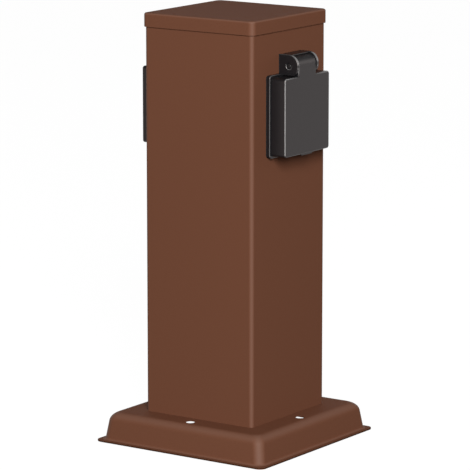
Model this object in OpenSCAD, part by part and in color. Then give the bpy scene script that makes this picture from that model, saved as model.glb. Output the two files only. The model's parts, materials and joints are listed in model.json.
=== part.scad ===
// Garden socket post: a square sheet-steel column on a pressed plinth, with a hinged socket on two sides.
// The origin is on the ground at the middle of the plinth. The sockets face +X (right) and -X (left).

/* [Column] */
// Height of the post from the ground to the top of the cap
post_h = 369; // [340:1:600]
// Outer width of the square column
column_w = 110; // [104:1:160]
// Sheet thickness of the column
column_wall = 1.5; // [1:0.1:2.5]
// Outer radius of the column's folded edges
column_corner = 3.5; // [3:0.1:6]

/* [Plinth] */
// Width of the plinth over its rim
base_w = 173.3; // [172:0.1:240]
// Height of the plinth's top above the ground
base_h = 25; // [24:0.5:40]
// Sheet thickness of the plinth
base_sheet = 1.5; // [1.2:0.1:2]
// Corner radius of the rim
rim_corner = 6; // [4:0.5:12]
// Width of the flat rim around the foot of the wall
rim_w = 4.2; // [3.8:0.1:5]
// Lean of the plinth's wall from upright, in degrees
wall_lean = 8.5; // [5:0.5:12]
// Radius between the rim and the wall
foot_fillet = 2.6; // [2:0.1:3]
// Radius of the shoulder between the wall and the top
shoulder_r = 8.5; // [6:0.5:10]
// Corner radius of the wall in plan
wall_corner = 8; // [6:0.5:12]
// Diameter of the anchor holes
anchor_d = 7.5; // [5:0.1:8]
// Distance of the anchor holes from the middle of the post
anchor_reach = 67; // [64:0.5:68]
// Diameter of the cable hole
cable_hole_d = 24; // [18:1:32]
// Diameter of the way through the grommet
cable_d = 13; // [10:0.5:15]

/* [Cap] */
// Sheet thickness of the cap
cap_sheet = 1.3; // [1:0.1:2]
// Height of the cap from its lower edge to its top
cap_h = 11.9; // [9:0.1:20]
// Gap between the cap's skirt and the column
cap_gap = 0.2; // [0.1:0.05:0.4]
// Radius of the cap's upper edges
cap_edge = 1.8; // [1:0.1:2.2]
// Thickness of the seal on the column's upper edge
cap_seal_t = 1; // [0.6:0.1:2]
// Length of the spring clips that hold the cap
clip_drop = 24; // [18:1:30]

/* [Socket] */
// Depth of the sockets' centres below the top of the post
socket_drop = 82.1; // [74:0.1:110]
// Width and height of the socket frame
frame_w = 70; // [69:0.5:76]
// Thickness of the frame's flange
frame_t = 3; // [2.6:0.1:4]
// Corner radius of the flange
frame_corner = 3; // [2:0.1:5]
// Thickness of the gasket behind the flange
gasket_t = 1; // [0.5:0.1:1.5]
// Distance of the frame screws from the flange's edges
screw_inset = 7; // [6.5:0.1:8]
// Diameter of the frame screws
screw_d = 3.5; // [3:0.1:4]
// Inner diameter of the socket's dish
dish_d = 39; // [38:0.1:40]
// Depth of the dish
dish_depth = 17.5; // [17:0.1:19]
// Wall of the socket insert
insert_wall = 3.5; // [2.5:0.1:4]
// Length of the contact base behind the dish's floor
insert_rear = 18; // [17:0.5:24]
// Spacing of the two pin holes
pin_pitch = 19; // [18.8:0.1:19.2]
// How far the collar round the dish stands off the column
collar_reach = 11.5; // [10.5:0.1:12]
// Wall of the collar
collar_wall = 2.25; // [1.6:0.05:3]

/* [Lid] */
// Width of the flange that shows on each side of the lid
lid_side_margin = 1.6; // [1:0.1:2]
// Height of the flange that shows above and below the lid
lid_end_margin = 2; // [1:0.1:2.2]
// How far the lid's face stands off the column
lid_reach = 18.4; // [17.6:0.1:21]
// Thickness of the lid's side walls
lid_wall = 2.2; // [1.8:0.1:2.5]
// Thickness of the lid's face
lid_plate = 2.2; // [1.6:0.1:2.6]
// Corner radius of the lid
lid_corner = 2.5; // [1.5:0.1:4]
// Radius of the lid's front edges
lid_edge = 1; // [0.5:0.1:1.4]
// Width of the finger lip on the lower edge
lip_w = 17.6; // [12:0.1:30]
// How far the finger lip stands below the lid
lip_drop = 1.2; // [0.6:0.1:3]

/* [Hinge] */
// How far the hinge pin's axis stands off the column
hinge_reach = 10.2; // [9.8:0.1:11]
// Height of the hinge pin's axis above the lid's upper edge
hinge_rise = 8.5; // [8:0.1:10]
// Diameter of the hinge pin
hinge_pin_d = 3; // [2:0.1:4]
// Width of the lid's knuckle
knuckle_w = 26.2; // [20:0.1:40]
// Thickness of each cheek of the hood
cheek_t = 2.6; // [2:0.1:4]
// Thickness of the hood's top over the knuckle
hood_t = 1.05; // [0.8:0.05:2]
// Turns in the lid spring
spring_turns = 5; // [3:1:6]
// Wire diameter of the lid spring
spring_wire = 0.8; // [0.5:0.1:0.9]

/* [Wiring] */
// Height of the terminal block's centre above the ground
block_z = 155; // [150:1:200]
// Spacing of the terminal block's poles
pole_pitch = 14; // [13:0.5:16]
// Diameter of the wires over their insulation
wire_d = 2.8; // [2:0.1:3]
// Height of the earth stud above the ground
stud_z = 85; // [70:1:90]

/* [Hidden] */
$fn = 48;

// Colours
coat_brown = "#6B4433";
moulded_black = "#2E2C2C";
rubber_black = "#1D1D1E";
insert_grey = "#3A3A3C";
zinc = "#B9BDC2";
oxide_black = "#232324";
brass = "#C2A14D";
block_white = "#E4E1D8";
live_brown = "#5B3220";
neutral_blue = "#2B5FA8";
earth_green = "#7FA32E";

// Clearances
eps = 0.1;
seat_gap = 0.2;
bore_gap = 0.05;
swing_gap = 0.4;
lid_gap = 0.3;

// Column and cap levels
column_half = column_w / 2;
column_inner = column_half - column_wall;
inner_corner = column_corner - column_wall;
cap_plate_z = post_h - cap_sheet;
column_top = cap_plate_z - cap_seal_t;
cap_w = column_w + 2 * (cap_gap + cap_sheet);
cap_corner = column_corner + cap_gap + cap_sheet;
clip_t = 0.8;
clip_w = 20;
clip_foot = 14;
clip_bulge = 1.6;

// Foot frame and its bolts
foot_t = 1.5;
foot_flange = 17;
foot_rise = 20;
foot_half = column_inner - seat_gap;
foot_bolt_d = 5;
foot_bolt_inset = 10.5;
foot_bolt_at = foot_half - foot_bolt_inset;
hex_ratio = 2 / sqrt(3);
bolt_head_af = 8;
bolt_head_h = 3.5;
nut_h = 4;
bolt_tail = 2;

// Grommet
grommet_lip = 3;
grommet_lip_t = 2;

// Frame and insert, measured off the column's face
socket_z = post_h - socket_drop;
screw_pitch = frame_w - 2 * screw_inset;
frame_front = gasket_t + frame_t;
frame_edge = 0.6;
frame_in = 0.3;
insert_r = dish_d / 2 + insert_wall;
insert_shy = 0.5;
insert_front = collar_reach - insert_shy;
dish_floor = insert_front - dish_depth;
floor_t = 2.5;
floor_back = dish_floor - floor_t;
insert_back = floor_back - insert_rear;
insert_flange_w = 4;
insert_flange_r = insert_r + insert_flange_w;
insert_flange_t = 1.5;
collar_in = insert_r + seat_gap;
collar_out = collar_in + collar_wall;
cutout_gap = 1;
cutout_r = insert_r + cutout_gap;
screw_head_d = 6.6;
screw_len = 14;
slot_w = 0.9;

// Contacts and earth clip
pin_hole_r = 2.75;
sleeve_r = 4;
sleeve_bore_r = 2.4;
sleeve_floor = 1;
clamp_w = 8;
clamp_h = 10;
clamp_len = 8;
clamp_proud = 1;
clamp_back = insert_back - clamp_proud;
clamp_front = clamp_back + clamp_len;
wire_in = clamp_back + clamp_len / 2;
wire_r = wire_d / 2;
wire_hole_r = wire_r + seat_gap;
clamp_screw_d = 3.4;
clamp_head_d = 5.4;
clamp_head_t = 2;
contact_screw_len = clamp_len / 2 - wire_hole_r - seat_gap;
wire_stop = 0.5;
wire_end_gap = 1;
strap_w = 5;
strap_room_w = strap_w + 2 * seat_gap;
strap_t = 1;
strap_inset = 1.1;
strap_z = dish_d / 2 - strap_inset;
strap_back = floor_back - strap_t / 2 - seat_gap;
arm_tip_at = 2.5;
arm_bow_at = 5.5;
arm_root_at = 9.5;
arm_bow = 1.5;
arm_flare = 0.2;

// Lid
lid_w = frame_w - 2 * lid_side_margin;
lid_h = frame_w - 2 * lid_end_margin;
lid_back = frame_front + lid_gap;
lid_inside = lid_reach - lid_plate;
lid_top = lid_h / 2;
lip_depth = 3;
lip_slope = 1.5;
hollow_corner = 1;
seal_inside = 1.5;
seal_outside = 1;
seal_in = insert_r - seal_inside;
seal_out = collar_out + seal_outside;

// Hinge, measured off the column's face and up from the socket's centre
hinge_up = lid_top + hinge_rise;
hinge_pin_r = hinge_pin_d / 2;
knuckle_r = lid_reach - hinge_reach;
pocket_r = knuckle_r + swing_gap;
hood_w = knuckle_w + 2 * (lid_gap + cheek_t);
cheek_r = pocket_r + hood_t;
cheek_set_back = 0.65;
cheek_centre = hinge_reach - cheek_set_back;
cheek_low = lid_top + swing_gap;
bridge_lead = 1.4;
bridge_front = hinge_reach + bridge_lead;
hood_back_t = 0.5;
pocket_back = gasket_t + hood_back_t;
relief_r = cheek_r + bore_gap;
hub_r = 4.2;
knuckle_skin = 2.2;
spring_room_w = 10.4;
spring_room_r = knuckle_r - knuckle_skin;
tab_fillet = 1.5;
knuckle_end = 100;
pin_recess = 1;
pin_proud = 0.5;
pin_recess_ring = 1.3;
pin_recess_r = hinge_pin_r + pin_recess_ring;

// Lid spring
spring_r = 3.2;
spring_pitch = 1.4;
spring_leg = 4.4;
spring_steps = 12;
spring_sides = 6;

// Terminal block, measured from the column's far wall
bracket_t = 1.5;
bracket_h = 50;
bracket_depth = 12;
bar_w = 9;
bar_depth = 15.5;
bar_h = 20;
row_gap = 8;
block_margin = 6;
block_depth = 21.5;
block_h = 24;
block_w = 3 * pole_pitch + block_margin;
ear_w = 10;
ear_t = 6;
block_back = column_inner - bracket_depth;
block_front = block_back - block_depth;
row_inset = 7.5;
back_row = block_back - row_inset;
front_row = back_row - row_gap;
bar_set_back = 2.25;
bar_front = block_front + bar_set_back;
block_screw_x = block_w / 2 + ear_w / 2;
bracket_margin = 1;
bracket_half = block_w / 2 + ear_w + bracket_margin;
block_screw_d = 3.8;
block_screw_tail = 2;
clamp_screw_len = front_row - wire_hole_r - bar_front;
entry_depth = 9;
bar_top = block_z + bar_h / 2;

// Earth stud and lug on the far wall
stud_d = 5;
stud_len = 15;
lug_t = 1;
lug_r = 5;
lug_barrel_r = 2.3;
lug_barrel_at = 5;
lug_barrel_len = 10;
lug_stop = 2;
lug_end_gap = 0.5;
stud_nut_af = 8;

// Wire routes
wire_sides = 8;
wire_steps = 16;
wire_lead = 6;
drift_share = 0.55;

// Points of a square with rounded corners, counter-clockwise, at one height
corner_steps = 6;
function square_ring(half, corner, z) = [
    for (q = [0:3])
        for (i = [0:corner_steps])
            let (turn = 90 * q + 90 * i / corner_steps)
            let (mid = (half - corner) * [[1, 1], [-1, 1], [-1, -1], [1, -1]][q])
            [mid.x + corner * cos(turn), mid.y + corner * sin(turn), z]
];

// Closed skin through rings that all have the same number of points
module skin(rings) {
    n = len(rings[0]);
    last = len(rings) - 1;
    sides = [
        for (j = [0:last - 1])
            for (i = [0:n - 1])
                let (k = (i + 1) % n)
                each [
                    [j * n + i, (j + 1) * n + i, (j + 1) * n + k],
                    [j * n + i, (j + 1) * n + k, j * n + k]
                ]
    ];
    first_cap = [for (i = [0:n - 1]) i];
    last_cap = [for (i = [n - 1:-1:0]) last * n + i];
    polyhedron(points = [for (ring = rings) each ring], faces = concat([first_cap], sides, [last_cap]));
}

function unit(v) = v / norm(v);

// Direction of a path at one of its points
function heading(path, i) = unit(path[min(i + 1, len(path) - 1)] - path[max(i - 1, 0)]);

// Rings of a round tube along a path that never runs along the reference direction
function tube_rings(path, r, sides, reference) = [
    for (i = [0:len(path) - 1])
        let (ahead = heading(path, i))
        let (across = unit(cross(ahead, reference)))
        let (other = cross(ahead, across))
        [for (k = [0:sides - 1]) path[i] + r * (across * cos(360 * k / sides) + other * sin(360 * k / sides))]
];

// Outline of a bent strip of sheet along a flat path
function side_step(path, i) = let (ahead = heading(path, i)) [-ahead.y, ahead.x];
function strip(path, t) = concat(
    [for (i = [0:len(path) - 1]) path[i] + side_step(path, i) * t / 2],
    [for (i = [len(path) - 1:-1:0]) path[i] - side_step(path, i) * t / 2]
);

// Flat plate with rounded corners
module rounded_plate(w, h, corner, t) {
    linear_extrude(t) {
        square([w - 2 * corner, h], center = true);
        square([w, h - 2 * corner], center = true);
        for (x = [-1, 1], y = [-1, 1])
            translate([x * (w / 2 - corner), y * (h / 2 - corner)])
                circle(corner);
    }
}

// Section of a slab's edge, from the corner's centre outwards, with its upper edge rounded
module edge_section(corner, t, edge) {
    square([corner, t - edge]);
    square([corner - edge, t]);
    translate([corner - edge, t - edge])
        circle(edge);
}

// Plate with rounded corners and a rounded upper edge
module soft_plate(w, h, corner, t, edge) {
    run_x = w - 2 * corner;
    run_y = h - 2 * corner;
    translate([-run_x / 2, -run_y / 2, 0])
        cube([run_x, run_y, t]);
    for (q = [0:3]) {
        x = [1, -1, -1, 1][q] * run_x / 2;
        y = [1, 1, -1, -1][q] * run_y / 2;
        translate([x, y, 0])
            rotate([0, 0, 90 * q])
                rotate_extrude(angle = 90)
                    edge_section(corner, t, edge);
    }
    for (q = [0:3]) {
        reach = q % 2 == 0 ? run_x / 2 : run_y / 2;
        run = q % 2 == 0 ? run_y : run_x;
        rotate([0, 0, 90 * q])
            translate([reach, run / 2, 0])
                rotate([90, 0, 0])
                    linear_extrude(run)
                        edge_section(corner, t, edge);
    }
}

// Local frame of a socket: origin on the column's face, x out of it, z up
module at_socket() {
    translate([column_half, 0, socket_z])
        children();
}

// Left-hand copies are the right-hand ones turned half round the post
module left_side() {
    rotate([0, 0, 180])
        children();
}

// Stands a flat shape on the column's face: its x runs along y, its y up, its height outwards
module off_face(reach) {
    translate([reach, 0, 0])
        rotate([90, 0, 90])
            children();
}

module round_off_face(from, to, r) {
    off_face(from)
        cylinder(h = to - from, r = r);
}

// Cylinder along y, about the middle of the post
module across(r, w) {
    rotate([90, 0, 0])
        cylinder(h = w, r = r, center = true);
}

module at_hinge() {
    translate([hinge_reach, 0, hinge_up])
        children();
}

module at_frame_screws() {
    for (y = [-1, 1], z = [-1, 1])
        translate([0, y * screw_pitch / 2, z * screw_pitch / 2])
            children();
}

module at_corners(reach) {
    for (x = [-1, 1], y = [-1, 1])
        translate([x * reach, y * reach, 0])
            children();
}

// Level and half width of the plinth's wall
lean_tan = tan(wall_lean);
wall_foot = base_w / 2 - rim_w;
function wall_half(z) = wall_foot - (z - base_sheet) * lean_tan;

// Tangent length of a fillet between a level face and the leaning wall
function fillet_run(r) = r * tan((90 - wall_lean) / 2);

// Rings of the plinth's skin from the rim's edge to the flat of the top, set in by the sheet for the inside
arc_steps = 5;
function plinth_rings(inset) =
    let (low = base_sheet - inset)
    let (high = base_h - inset)
    let (side = inset / cos(wall_lean))
    let (foot_r = foot_fillet + inset)
    let (top_r = shoulder_r - inset)
    let (corner = wall_corner - inset)
    let (foot_x = wall_half(low) - side + fillet_run(foot_r))
    let (top_x = wall_half(high) - side - fillet_run(top_r))
    let (turn = 90 - wall_lean)
    concat(
        [
            for (i = [0:arc_steps])
                let (a = turn * i / arc_steps)
                square_ring(foot_x - foot_r * sin(a), corner, low + foot_r * (1 - cos(a)))
        ],
        [
            for (i = [0:arc_steps])
                let (a = turn * (1 - i / arc_steps))
                square_ring(top_x + top_r * sin(a), corner, high - top_r * (1 - cos(a)))
        ]
    );

module base_plinth() {
    outside = plinth_rings(0);
    inside = plinth_rings(base_sheet);
    rim = [
        square_ring(base_w / 2, rim_corner, 0),
        square_ring(base_w / 2, rim_corner, base_sheet)
    ];
    color(coat_brown)
        difference() {
            skin(concat([for (i = [len(inside) - 1:-1:0]) inside[i]], rim, outside));
            for (q = [0:3])
                rotate([0, 0, 90 * q])
                    translate([anchor_reach, 0, base_h / 2])
                        cylinder(h = base_h, d = anchor_d);
            at_corners(foot_bolt_at)
                translate([0, 0, base_h / 2])
                    cylinder(h = base_h, d = foot_bolt_d + 2 * seat_gap);
            translate([0, 0, base_h / 2])
                cylinder(h = base_h, d = cable_hole_d);
        }
}

module column() {
    tube_h = column_top - base_h;
    color(coat_brown)
        translate([0, 0, base_h])
            difference() {
                rounded_plate(column_w, column_w, column_corner, tube_h);
                translate([0, 0, -eps])
                    rounded_plate(2 * column_inner, 2 * column_inner, inner_corner, tube_h + 2 * eps);
                for (turn = [0, 180])
                    rotate([0, 0, turn])
                        translate([0, 0, -base_h])
                            at_socket() {
                                round_off_face(-column_wall - eps, eps, cutout_r);
                                at_frame_screws()
                                    round_off_face(-column_wall - eps, eps, screw_d / 2 + bore_gap);
                            }
            }
}

module top_cap() {
    inside_w = cap_w - 2 * cap_sheet;
    color(coat_brown)
        translate([0, 0, post_h - cap_h])
            difference() {
                soft_plate(cap_w, cap_w, cap_corner, cap_h, cap_edge);
                translate([0, 0, -eps])
                    rounded_plate(inside_w, inside_w, cap_corner - cap_sheet, cap_h - cap_sheet + eps);
            }
}

module cap_seal() {
    color(rubber_black)
        translate([0, 0, column_top])
            difference() {
                rounded_plate(column_w, column_w, column_corner, cap_seal_t);
                translate([0, 0, -eps])
                    rounded_plate(2 * column_inner, 2 * column_inner, inner_corner, cap_seal_t + 2 * eps);
            }
}

module cap_clips() {
    under_plate = cap_plate_z - clip_t / 2;
    grip = column_inner - clip_t / 2 - bore_gap;
    relaxed = grip - clip_bulge;
    path = [
        [relaxed - clip_foot, under_plate],
        [relaxed, under_plate],
        [relaxed, under_plate - clip_drop / 4],
        [grip, under_plate - 3 * clip_drop / 4],
        [relaxed, under_plate - clip_drop]
    ];
    color(zinc)
        for (turn = [0, 180])
            rotate([0, 0, turn])
                rotate([90, 0, 90])
                    linear_extrude(clip_w, center = true)
                        polygon(strip(path, clip_t));
}

module foot_frame() {
    window = 2 * (foot_half - foot_flange);
    tube = 2 * (foot_half - foot_t);
    color(zinc)
        translate([0, 0, base_h])
            difference() {
                rounded_plate(2 * foot_half, 2 * foot_half, inner_corner, foot_rise);
                translate([-tube / 2, -tube / 2, foot_t])
                    cube([tube, tube, foot_rise]);
                translate([-window / 2, -window / 2, -eps])
                    cube([window, window, foot_t + 2 * eps]);
                at_corners(foot_bolt_at)
                    translate([0, 0, -eps])
                        cylinder(h = foot_t + 2 * eps, d = foot_bolt_d + 2 * seat_gap);
            }
}

module foot_bolts() {
    head_z = base_h + foot_t;
    tail_z = base_h - base_sheet - nut_h - bolt_tail;
    color(zinc)
        at_corners(foot_bolt_at) {
            translate([0, 0, tail_z])
                cylinder(h = head_z - tail_z + eps, d = foot_bolt_d);
            translate([0, 0, head_z])
                cylinder(h = bolt_head_h, d = bolt_head_af * hex_ratio, $fn = 6);
        }
}

module foot_nuts() {
    color(zinc)
        at_corners(foot_bolt_at)
            translate([0, 0, base_h - base_sheet - nut_h])
                difference() {
                    cylinder(h = nut_h, d = bolt_head_af * hex_ratio, $fn = 6);
                    translate([0, 0, -eps])
                        cylinder(h = nut_h + 2 * eps, d = foot_bolt_d + 2 * bore_gap);
                }
}

module cable_grommet() {
    lip_r = cable_hole_d / 2 + grommet_lip;
    neck_r = cable_hole_d / 2 - bore_gap;
    low = base_h - base_sheet - grommet_lip_t;
    color(rubber_black)
        translate([0, 0, low])
            rotate_extrude()
                difference() {
                    union() {
                        square([lip_r, grommet_lip_t]);
                        square([neck_r, base_sheet + 2 * grommet_lip_t]);
                        translate([0, base_sheet + grommet_lip_t])
                            square([lip_r, grommet_lip_t]);
                    }
                    translate([0, -eps])
                        square([cable_d / 2, base_sheet + 2 * grommet_lip_t + 2 * eps]);
                }
}

// Terminal block on a channel against the far wall

module at_poles() {
    for (pole = [-1:1])
        translate([pole * pole_pitch, 0, 0])
            children();
}

module at_block_screws() {
    for (side = [-1, 1])
        translate([side * block_screw_x, 0, block_z])
            rotate([-90, 0, 0])
                children();
}

module terminal_bracket() {
    color(zinc)
        difference() {
            translate([-bracket_half, block_back, block_z - bracket_h / 2])
                cube([2 * bracket_half, bracket_depth, bracket_h]);
            translate([-bracket_half + bracket_t, block_back + bracket_t, block_z - bracket_h / 2 - eps])
                cube([2 * (bracket_half - bracket_t), bracket_depth, bracket_h + 2 * eps]);
            at_block_screws()
                translate([0, 0, block_back - eps])
                    cylinder(h = bracket_t + 2 * eps, d = block_screw_d + 2 * bore_gap);
        }
}

module terminal_block() {
    channel_w = bar_w + 2 * seat_gap;
    channel_back = bar_front + bar_depth + seat_gap;
    color(block_white)
        difference() {
            union() {
                translate([-block_w / 2, block_front, block_z - block_h / 2])
                    cube([block_w, block_depth, block_h]);
                translate([-block_w / 2 - ear_w, block_back - ear_t, block_z - block_h / 2])
                    cube([block_w + 2 * ear_w, ear_t, block_h]);
            }
            at_poles() {
                translate([-channel_w / 2, block_front - eps, block_z - bar_h / 2])
                    cube([channel_w, channel_back - block_front + eps, bar_h]);
                for (y = [front_row, back_row])
                    translate([0, y, block_z - block_h / 2 - eps])
                        cylinder(h = block_h + 2 * eps, r = wire_hole_r + seat_gap);
            }
            at_block_screws()
                translate([0, 0, block_back - ear_t - eps])
                    cylinder(h = ear_t + 2 * eps, d = block_screw_d + 2 * seat_gap);
        }
}

module terminal_bars() {
    color(brass)
        at_poles()
            difference() {
                translate([-bar_w / 2, bar_front, block_z - bar_h / 2])
                    cube([bar_w, bar_depth, bar_h]);
                for (y = [front_row, back_row], side = [-1, 1])
                    translate([0, y, block_z + side * (bar_h / 2 - entry_depth / 2 + eps)])
                        cylinder(h = entry_depth + 2 * eps, r = wire_hole_r, center = true);
                at_clamp_screws()
                    translate([0, 0, -eps])
                        cylinder(h = clamp_screw_len + 2 * eps, d = clamp_screw_d + 2 * bore_gap);
            }
}

// Clamping screws in the front of a pole, above and below its middle
module at_clamp_screws() {
    for (side = [-1, 1])
        translate([0, bar_front, block_z + side * bar_h / 4])
            rotate([-90, 0, 0])
                children();
}

// Slotted screw: its head stands below z = 0 and its shank above
module slotted_screw(d, len, head_d, head_t) {
    translate([0, 0, -head_t / 4])
        cylinder(h = len + head_t / 4, d = d);
    difference() {
        translate([0, 0, -head_t])
            cylinder(h = head_t, d = head_d);
        translate([-head_d, -slot_w / 2, -head_t - eps])
            cube([2 * head_d, slot_w, head_t / 2 + eps]);
    }
}

module terminal_screws() {
    color(zinc)
        at_poles()
            at_clamp_screws()
                slotted_screw(clamp_screw_d, clamp_screw_len, clamp_head_d, clamp_head_t);
}

module block_screws() {
    shank = ear_t + bracket_t + block_screw_tail;
    color(zinc)
        at_block_screws()
            translate([0, 0, block_back - ear_t])
                slotted_screw(block_screw_d, shank, 2 * block_screw_d, clamp_head_t);
}

// Earth stud on the far wall

module at_stud() {
    translate([0, column_inner, stud_z])
        rotate([90, 0, 0])
            children();
}

module earth_stud() {
    color(zinc)
        at_stud()
            cylinder(h = stud_len, d = stud_d);
}

module earth_lug() {
    barrel_off = lug_barrel_r + eps;
    color(zinc)
        at_stud()
            difference() {
                union() {
                    cylinder(h = lug_t, r = lug_r);
                    translate([-lug_barrel_r, 0, 0])
                        cube([2 * lug_barrel_r, lug_barrel_at + lug_stop, lug_t]);
                    translate([0, lug_barrel_at, barrel_off])
                        rotate([-90, 0, 0])
                            cylinder(h = lug_barrel_len, r = lug_barrel_r);
                }
                translate([0, 0, -eps])
                    cylinder(h = 2 * lug_barrel_r, d = stud_d + 2 * bore_gap);
                translate([0, lug_barrel_at + lug_stop, barrel_off])
                    rotate([-90, 0, 0])
                        cylinder(h = lug_barrel_len, r = wire_hole_r);
            }
}

module earth_nut() {
    color(zinc)
        at_stud()
            translate([0, 0, lug_t])
                difference() {
                    cylinder(h = nut_h, d = stud_nut_af * hex_ratio, $fn = 6);
                    translate([0, 0, -eps])
                        cylinder(h = nut_h + 2 * eps, d = stud_d + 2 * bore_gap);
                }
}

// Wires run upright out of each terminal and drift across between a start and an end share of the way

function ease(t, from, to) = let (s = min(max((t - from) / (to - from), 0), 1)) s * s * (3 - 2 * s);

function wire_path(low, high, lead_low, lead_high, from, to) =
    let (a = low + [0, 0, lead_low])
    let (b = high - [0, 0, lead_high])
    concat(
        [low],
        [
            for (i = [0:wire_steps])
                let (t = i / wire_steps)
                let (s = ease(t, from, to))
                [a.x + (b.x - a.x) * s, a.y + (b.y - a.y) * s, a.z + (b.z - a.z) * t]
        ],
        [high]
    );

module wire(path, hue) {
    color(hue)
        skin(tube_rings(path, wire_r, wire_sides, [0, 1, 0]));
}

// Way of one wire from its pole to a socket's clamp, as seen by that socket
module socket_wire(pole, side, hue) {
    row = side > 0 ? back_row : front_row;
    low = [pole * pole_pitch, row, bar_top - entry_depth + wire_end_gap];
    high = [side * (column_half + wire_in), side * pole * pin_pitch / 2, socket_z - wire_stop - wire_end_gap];
    from = side > 0 ? 1 - drift_share : 0;
    lead = entry_depth + wire_lead;
    wire(wire_path(low, high, lead, insert_r + wire_lead, from, from + drift_share), hue);
}

module bond_wire() {
    low = [0, column_inner - lug_barrel_r - eps, stud_z + lug_barrel_at + lug_stop + lug_end_gap];
    high = [0, back_row, block_z - bar_h / 2 + entry_depth - wire_end_gap];
    wire(wire_path(low, high, lug_barrel_len + lug_stop, entry_depth + wire_lead, 0, 1), earth_green);
}

// Socket pieces, all in the right-hand place

module socket_frame() {
    color(moulded_black)
        at_socket()
            difference() {
                union() {
                    hinge_hood();
                    off_face(gasket_t)
                        soft_plate(frame_w, frame_w, frame_corner, frame_t, frame_edge);
                    round_off_face(gasket_t + frame_t / 2, collar_reach, collar_out);
                }
                round_off_face(gasket_t - eps, collar_reach + eps, collar_in);
                round_off_face(gasket_t - eps, gasket_t + insert_flange_t, insert_flange_r + seat_gap);
                at_frame_screws() {
                    round_off_face(gasket_t - eps, frame_front + eps, screw_d / 2 + seat_gap);
                    off_face(frame_front - screw_head_d / 2 + screw_d / 2)
                        cylinder(
                            h = (screw_head_d - screw_d) / 2 + eps,
                            d1 = screw_d + 2 * seat_gap,
                            d2 = screw_head_d + 2 * seat_gap + 2 * eps
                        );
                }
            }
}

// Hood over the knuckle: two round-nosed cheeks joined by a back and a thin top
module hinge_hood() {
    nose = cheek_centre - gasket_t;
    difference() {
        union() {
            translate([cheek_centre, 0, hinge_up])
                across(cheek_r, hood_w);
            translate([gasket_t, -hood_w / 2, cheek_low])
                cube([nose, hood_w, hinge_up + cheek_r - cheek_low]);
        }
        translate([gasket_t - eps, -hood_w, hinge_up - 2 * cheek_r])
            cube([3 * cheek_r, 2 * hood_w, 2 * cheek_r - hinge_up + cheek_low]);
        translate([gasket_t - 2 * cheek_r, -hood_w, hinge_up - 2 * cheek_r])
            cube([2 * cheek_r, 2 * hood_w, 4 * cheek_r]);
        knuckle_pocket();
        at_hinge() {
            across(hinge_pin_r + bore_gap, hood_w + eps);
            for (side = [-1, 1])
                translate([0, side * hood_w / 2, 0])
                    across(pin_recess_r, 2 * pin_recess);
        }
    }
}

// Room between the cheeks: round under the hood's top and back, open to the front past the top's edge
module knuckle_pocket() {
    room_w = knuckle_w + 2 * lid_gap;
    intersection() {
        at_hinge()
            across(pocket_r, room_w);
        translate([pocket_back, -room_w, hinge_up - 2 * pocket_r])
            cube([4 * pocket_r, 2 * room_w, 4 * pocket_r]);
    }
    translate([hinge_reach, -room_w / 2, cheek_low - eps])
        cube([3 * pocket_r, room_w, hinge_up + pocket_r - cheek_low + eps]);
    translate([bridge_front, -room_w / 2, cheek_low - eps])
        cube([3 * pocket_r, room_w, 2 * cheek_r + hinge_up - cheek_low]);
    translate([frame_front, -room_w / 2, cheek_low - eps])
        cube([3 * pocket_r, room_w, hinge_rise / 2]);
}

module gasket() {
    tongue_top = hinge_up + cheek_r - frame_in;
    color(rubber_black)
        at_socket()
            difference() {
                union() {
                    off_face(0)
                        rounded_plate(frame_w - 2 * frame_in, frame_w - 2 * frame_in, frame_corner, gasket_t);
                    translate([0, -hood_w / 2 + frame_in, 0])
                        cube([gasket_t, hood_w - 2 * frame_in, tongue_top]);
                }
                round_off_face(-eps, gasket_t + eps, cutout_r);
                at_frame_screws()
                    round_off_face(-eps, gasket_t + eps, screw_d / 2 + seat_gap);
            }
}

module frame_screws() {
    cone_h = (screw_head_d - screw_d) / 2;
    color(zinc)
        at_socket()
            at_frame_screws()
                difference() {
                    union() {
                        round_off_face(frame_front - screw_len, frame_front - cone_h + eps, screw_d / 2);
                        off_face(frame_front - cone_h)
                            cylinder(h = cone_h, d1 = screw_d, d2 = screw_head_d);
                    }
                    for (turn = [0, 90])
                        off_face(frame_front - cone_h / 2)
                            rotate([0, 0, turn])
                                translate([-screw_d / 2, -slot_w / 2, 0])
                                    cube([screw_d, slot_w, cone_h]);
                }
}

// Dish that takes the plug, with a flange held behind the frame
module socket_insert() {
    slot_h = strap_t + 4 * seat_gap;
    color(insert_grey)
        at_socket()
            difference() {
                union() {
                    round_off_face(floor_back, insert_front, insert_r);
                    round_off_face(gasket_t, gasket_t + insert_flange_t, insert_flange_r);
                }
                round_off_face(dish_floor, insert_front + eps, dish_d / 2);
                for (side = [-1, 1]) {
                    translate([0, side * pin_pitch / 2, 0])
                        round_off_face(floor_back - eps, dish_floor + eps, pin_hole_r);
                    translate([floor_back - eps, -strap_room_w / 2, side * strap_z - slot_h / 2])
                        cube([floor_t + 2 * eps, strap_room_w, slot_h]);
                }
            }
}

// Base behind the dish, with rooms for the contacts and the earth clip and a way for each wire
module contact_base() {
    color(insert_grey)
        at_socket()
            difference() {
                round_off_face(insert_back, floor_back, insert_r);
                for (y = [-1:1])
                    translate([0, y * pin_pitch / 2, 0]) {
                        round_off_face(insert_back - eps, floor_back + eps, sleeve_r + seat_gap);
                        clamp_block(seat_gap);
                        translate([wire_in, 0, -2 * insert_r])
                            cylinder(h = 2 * insert_r, r = wire_hole_r + seat_gap);
                    }
                translate([insert_back - eps, -strap_room_w / 2, -strap_z - strap_t])
                    cube([insert_rear + 2 * eps, strap_room_w, 2 * (strap_z + strap_t)]);
            }
}

// Clamp at the back of a contact, or the room for one when it is grown
module clamp_block(grow) {
    translate([clamp_back - grow, -clamp_w / 2 - grow, -clamp_h / 2 - grow])
        cube([clamp_len + 2 * grow, clamp_w + 2 * grow, clamp_h + 2 * grow]);
}

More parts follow.
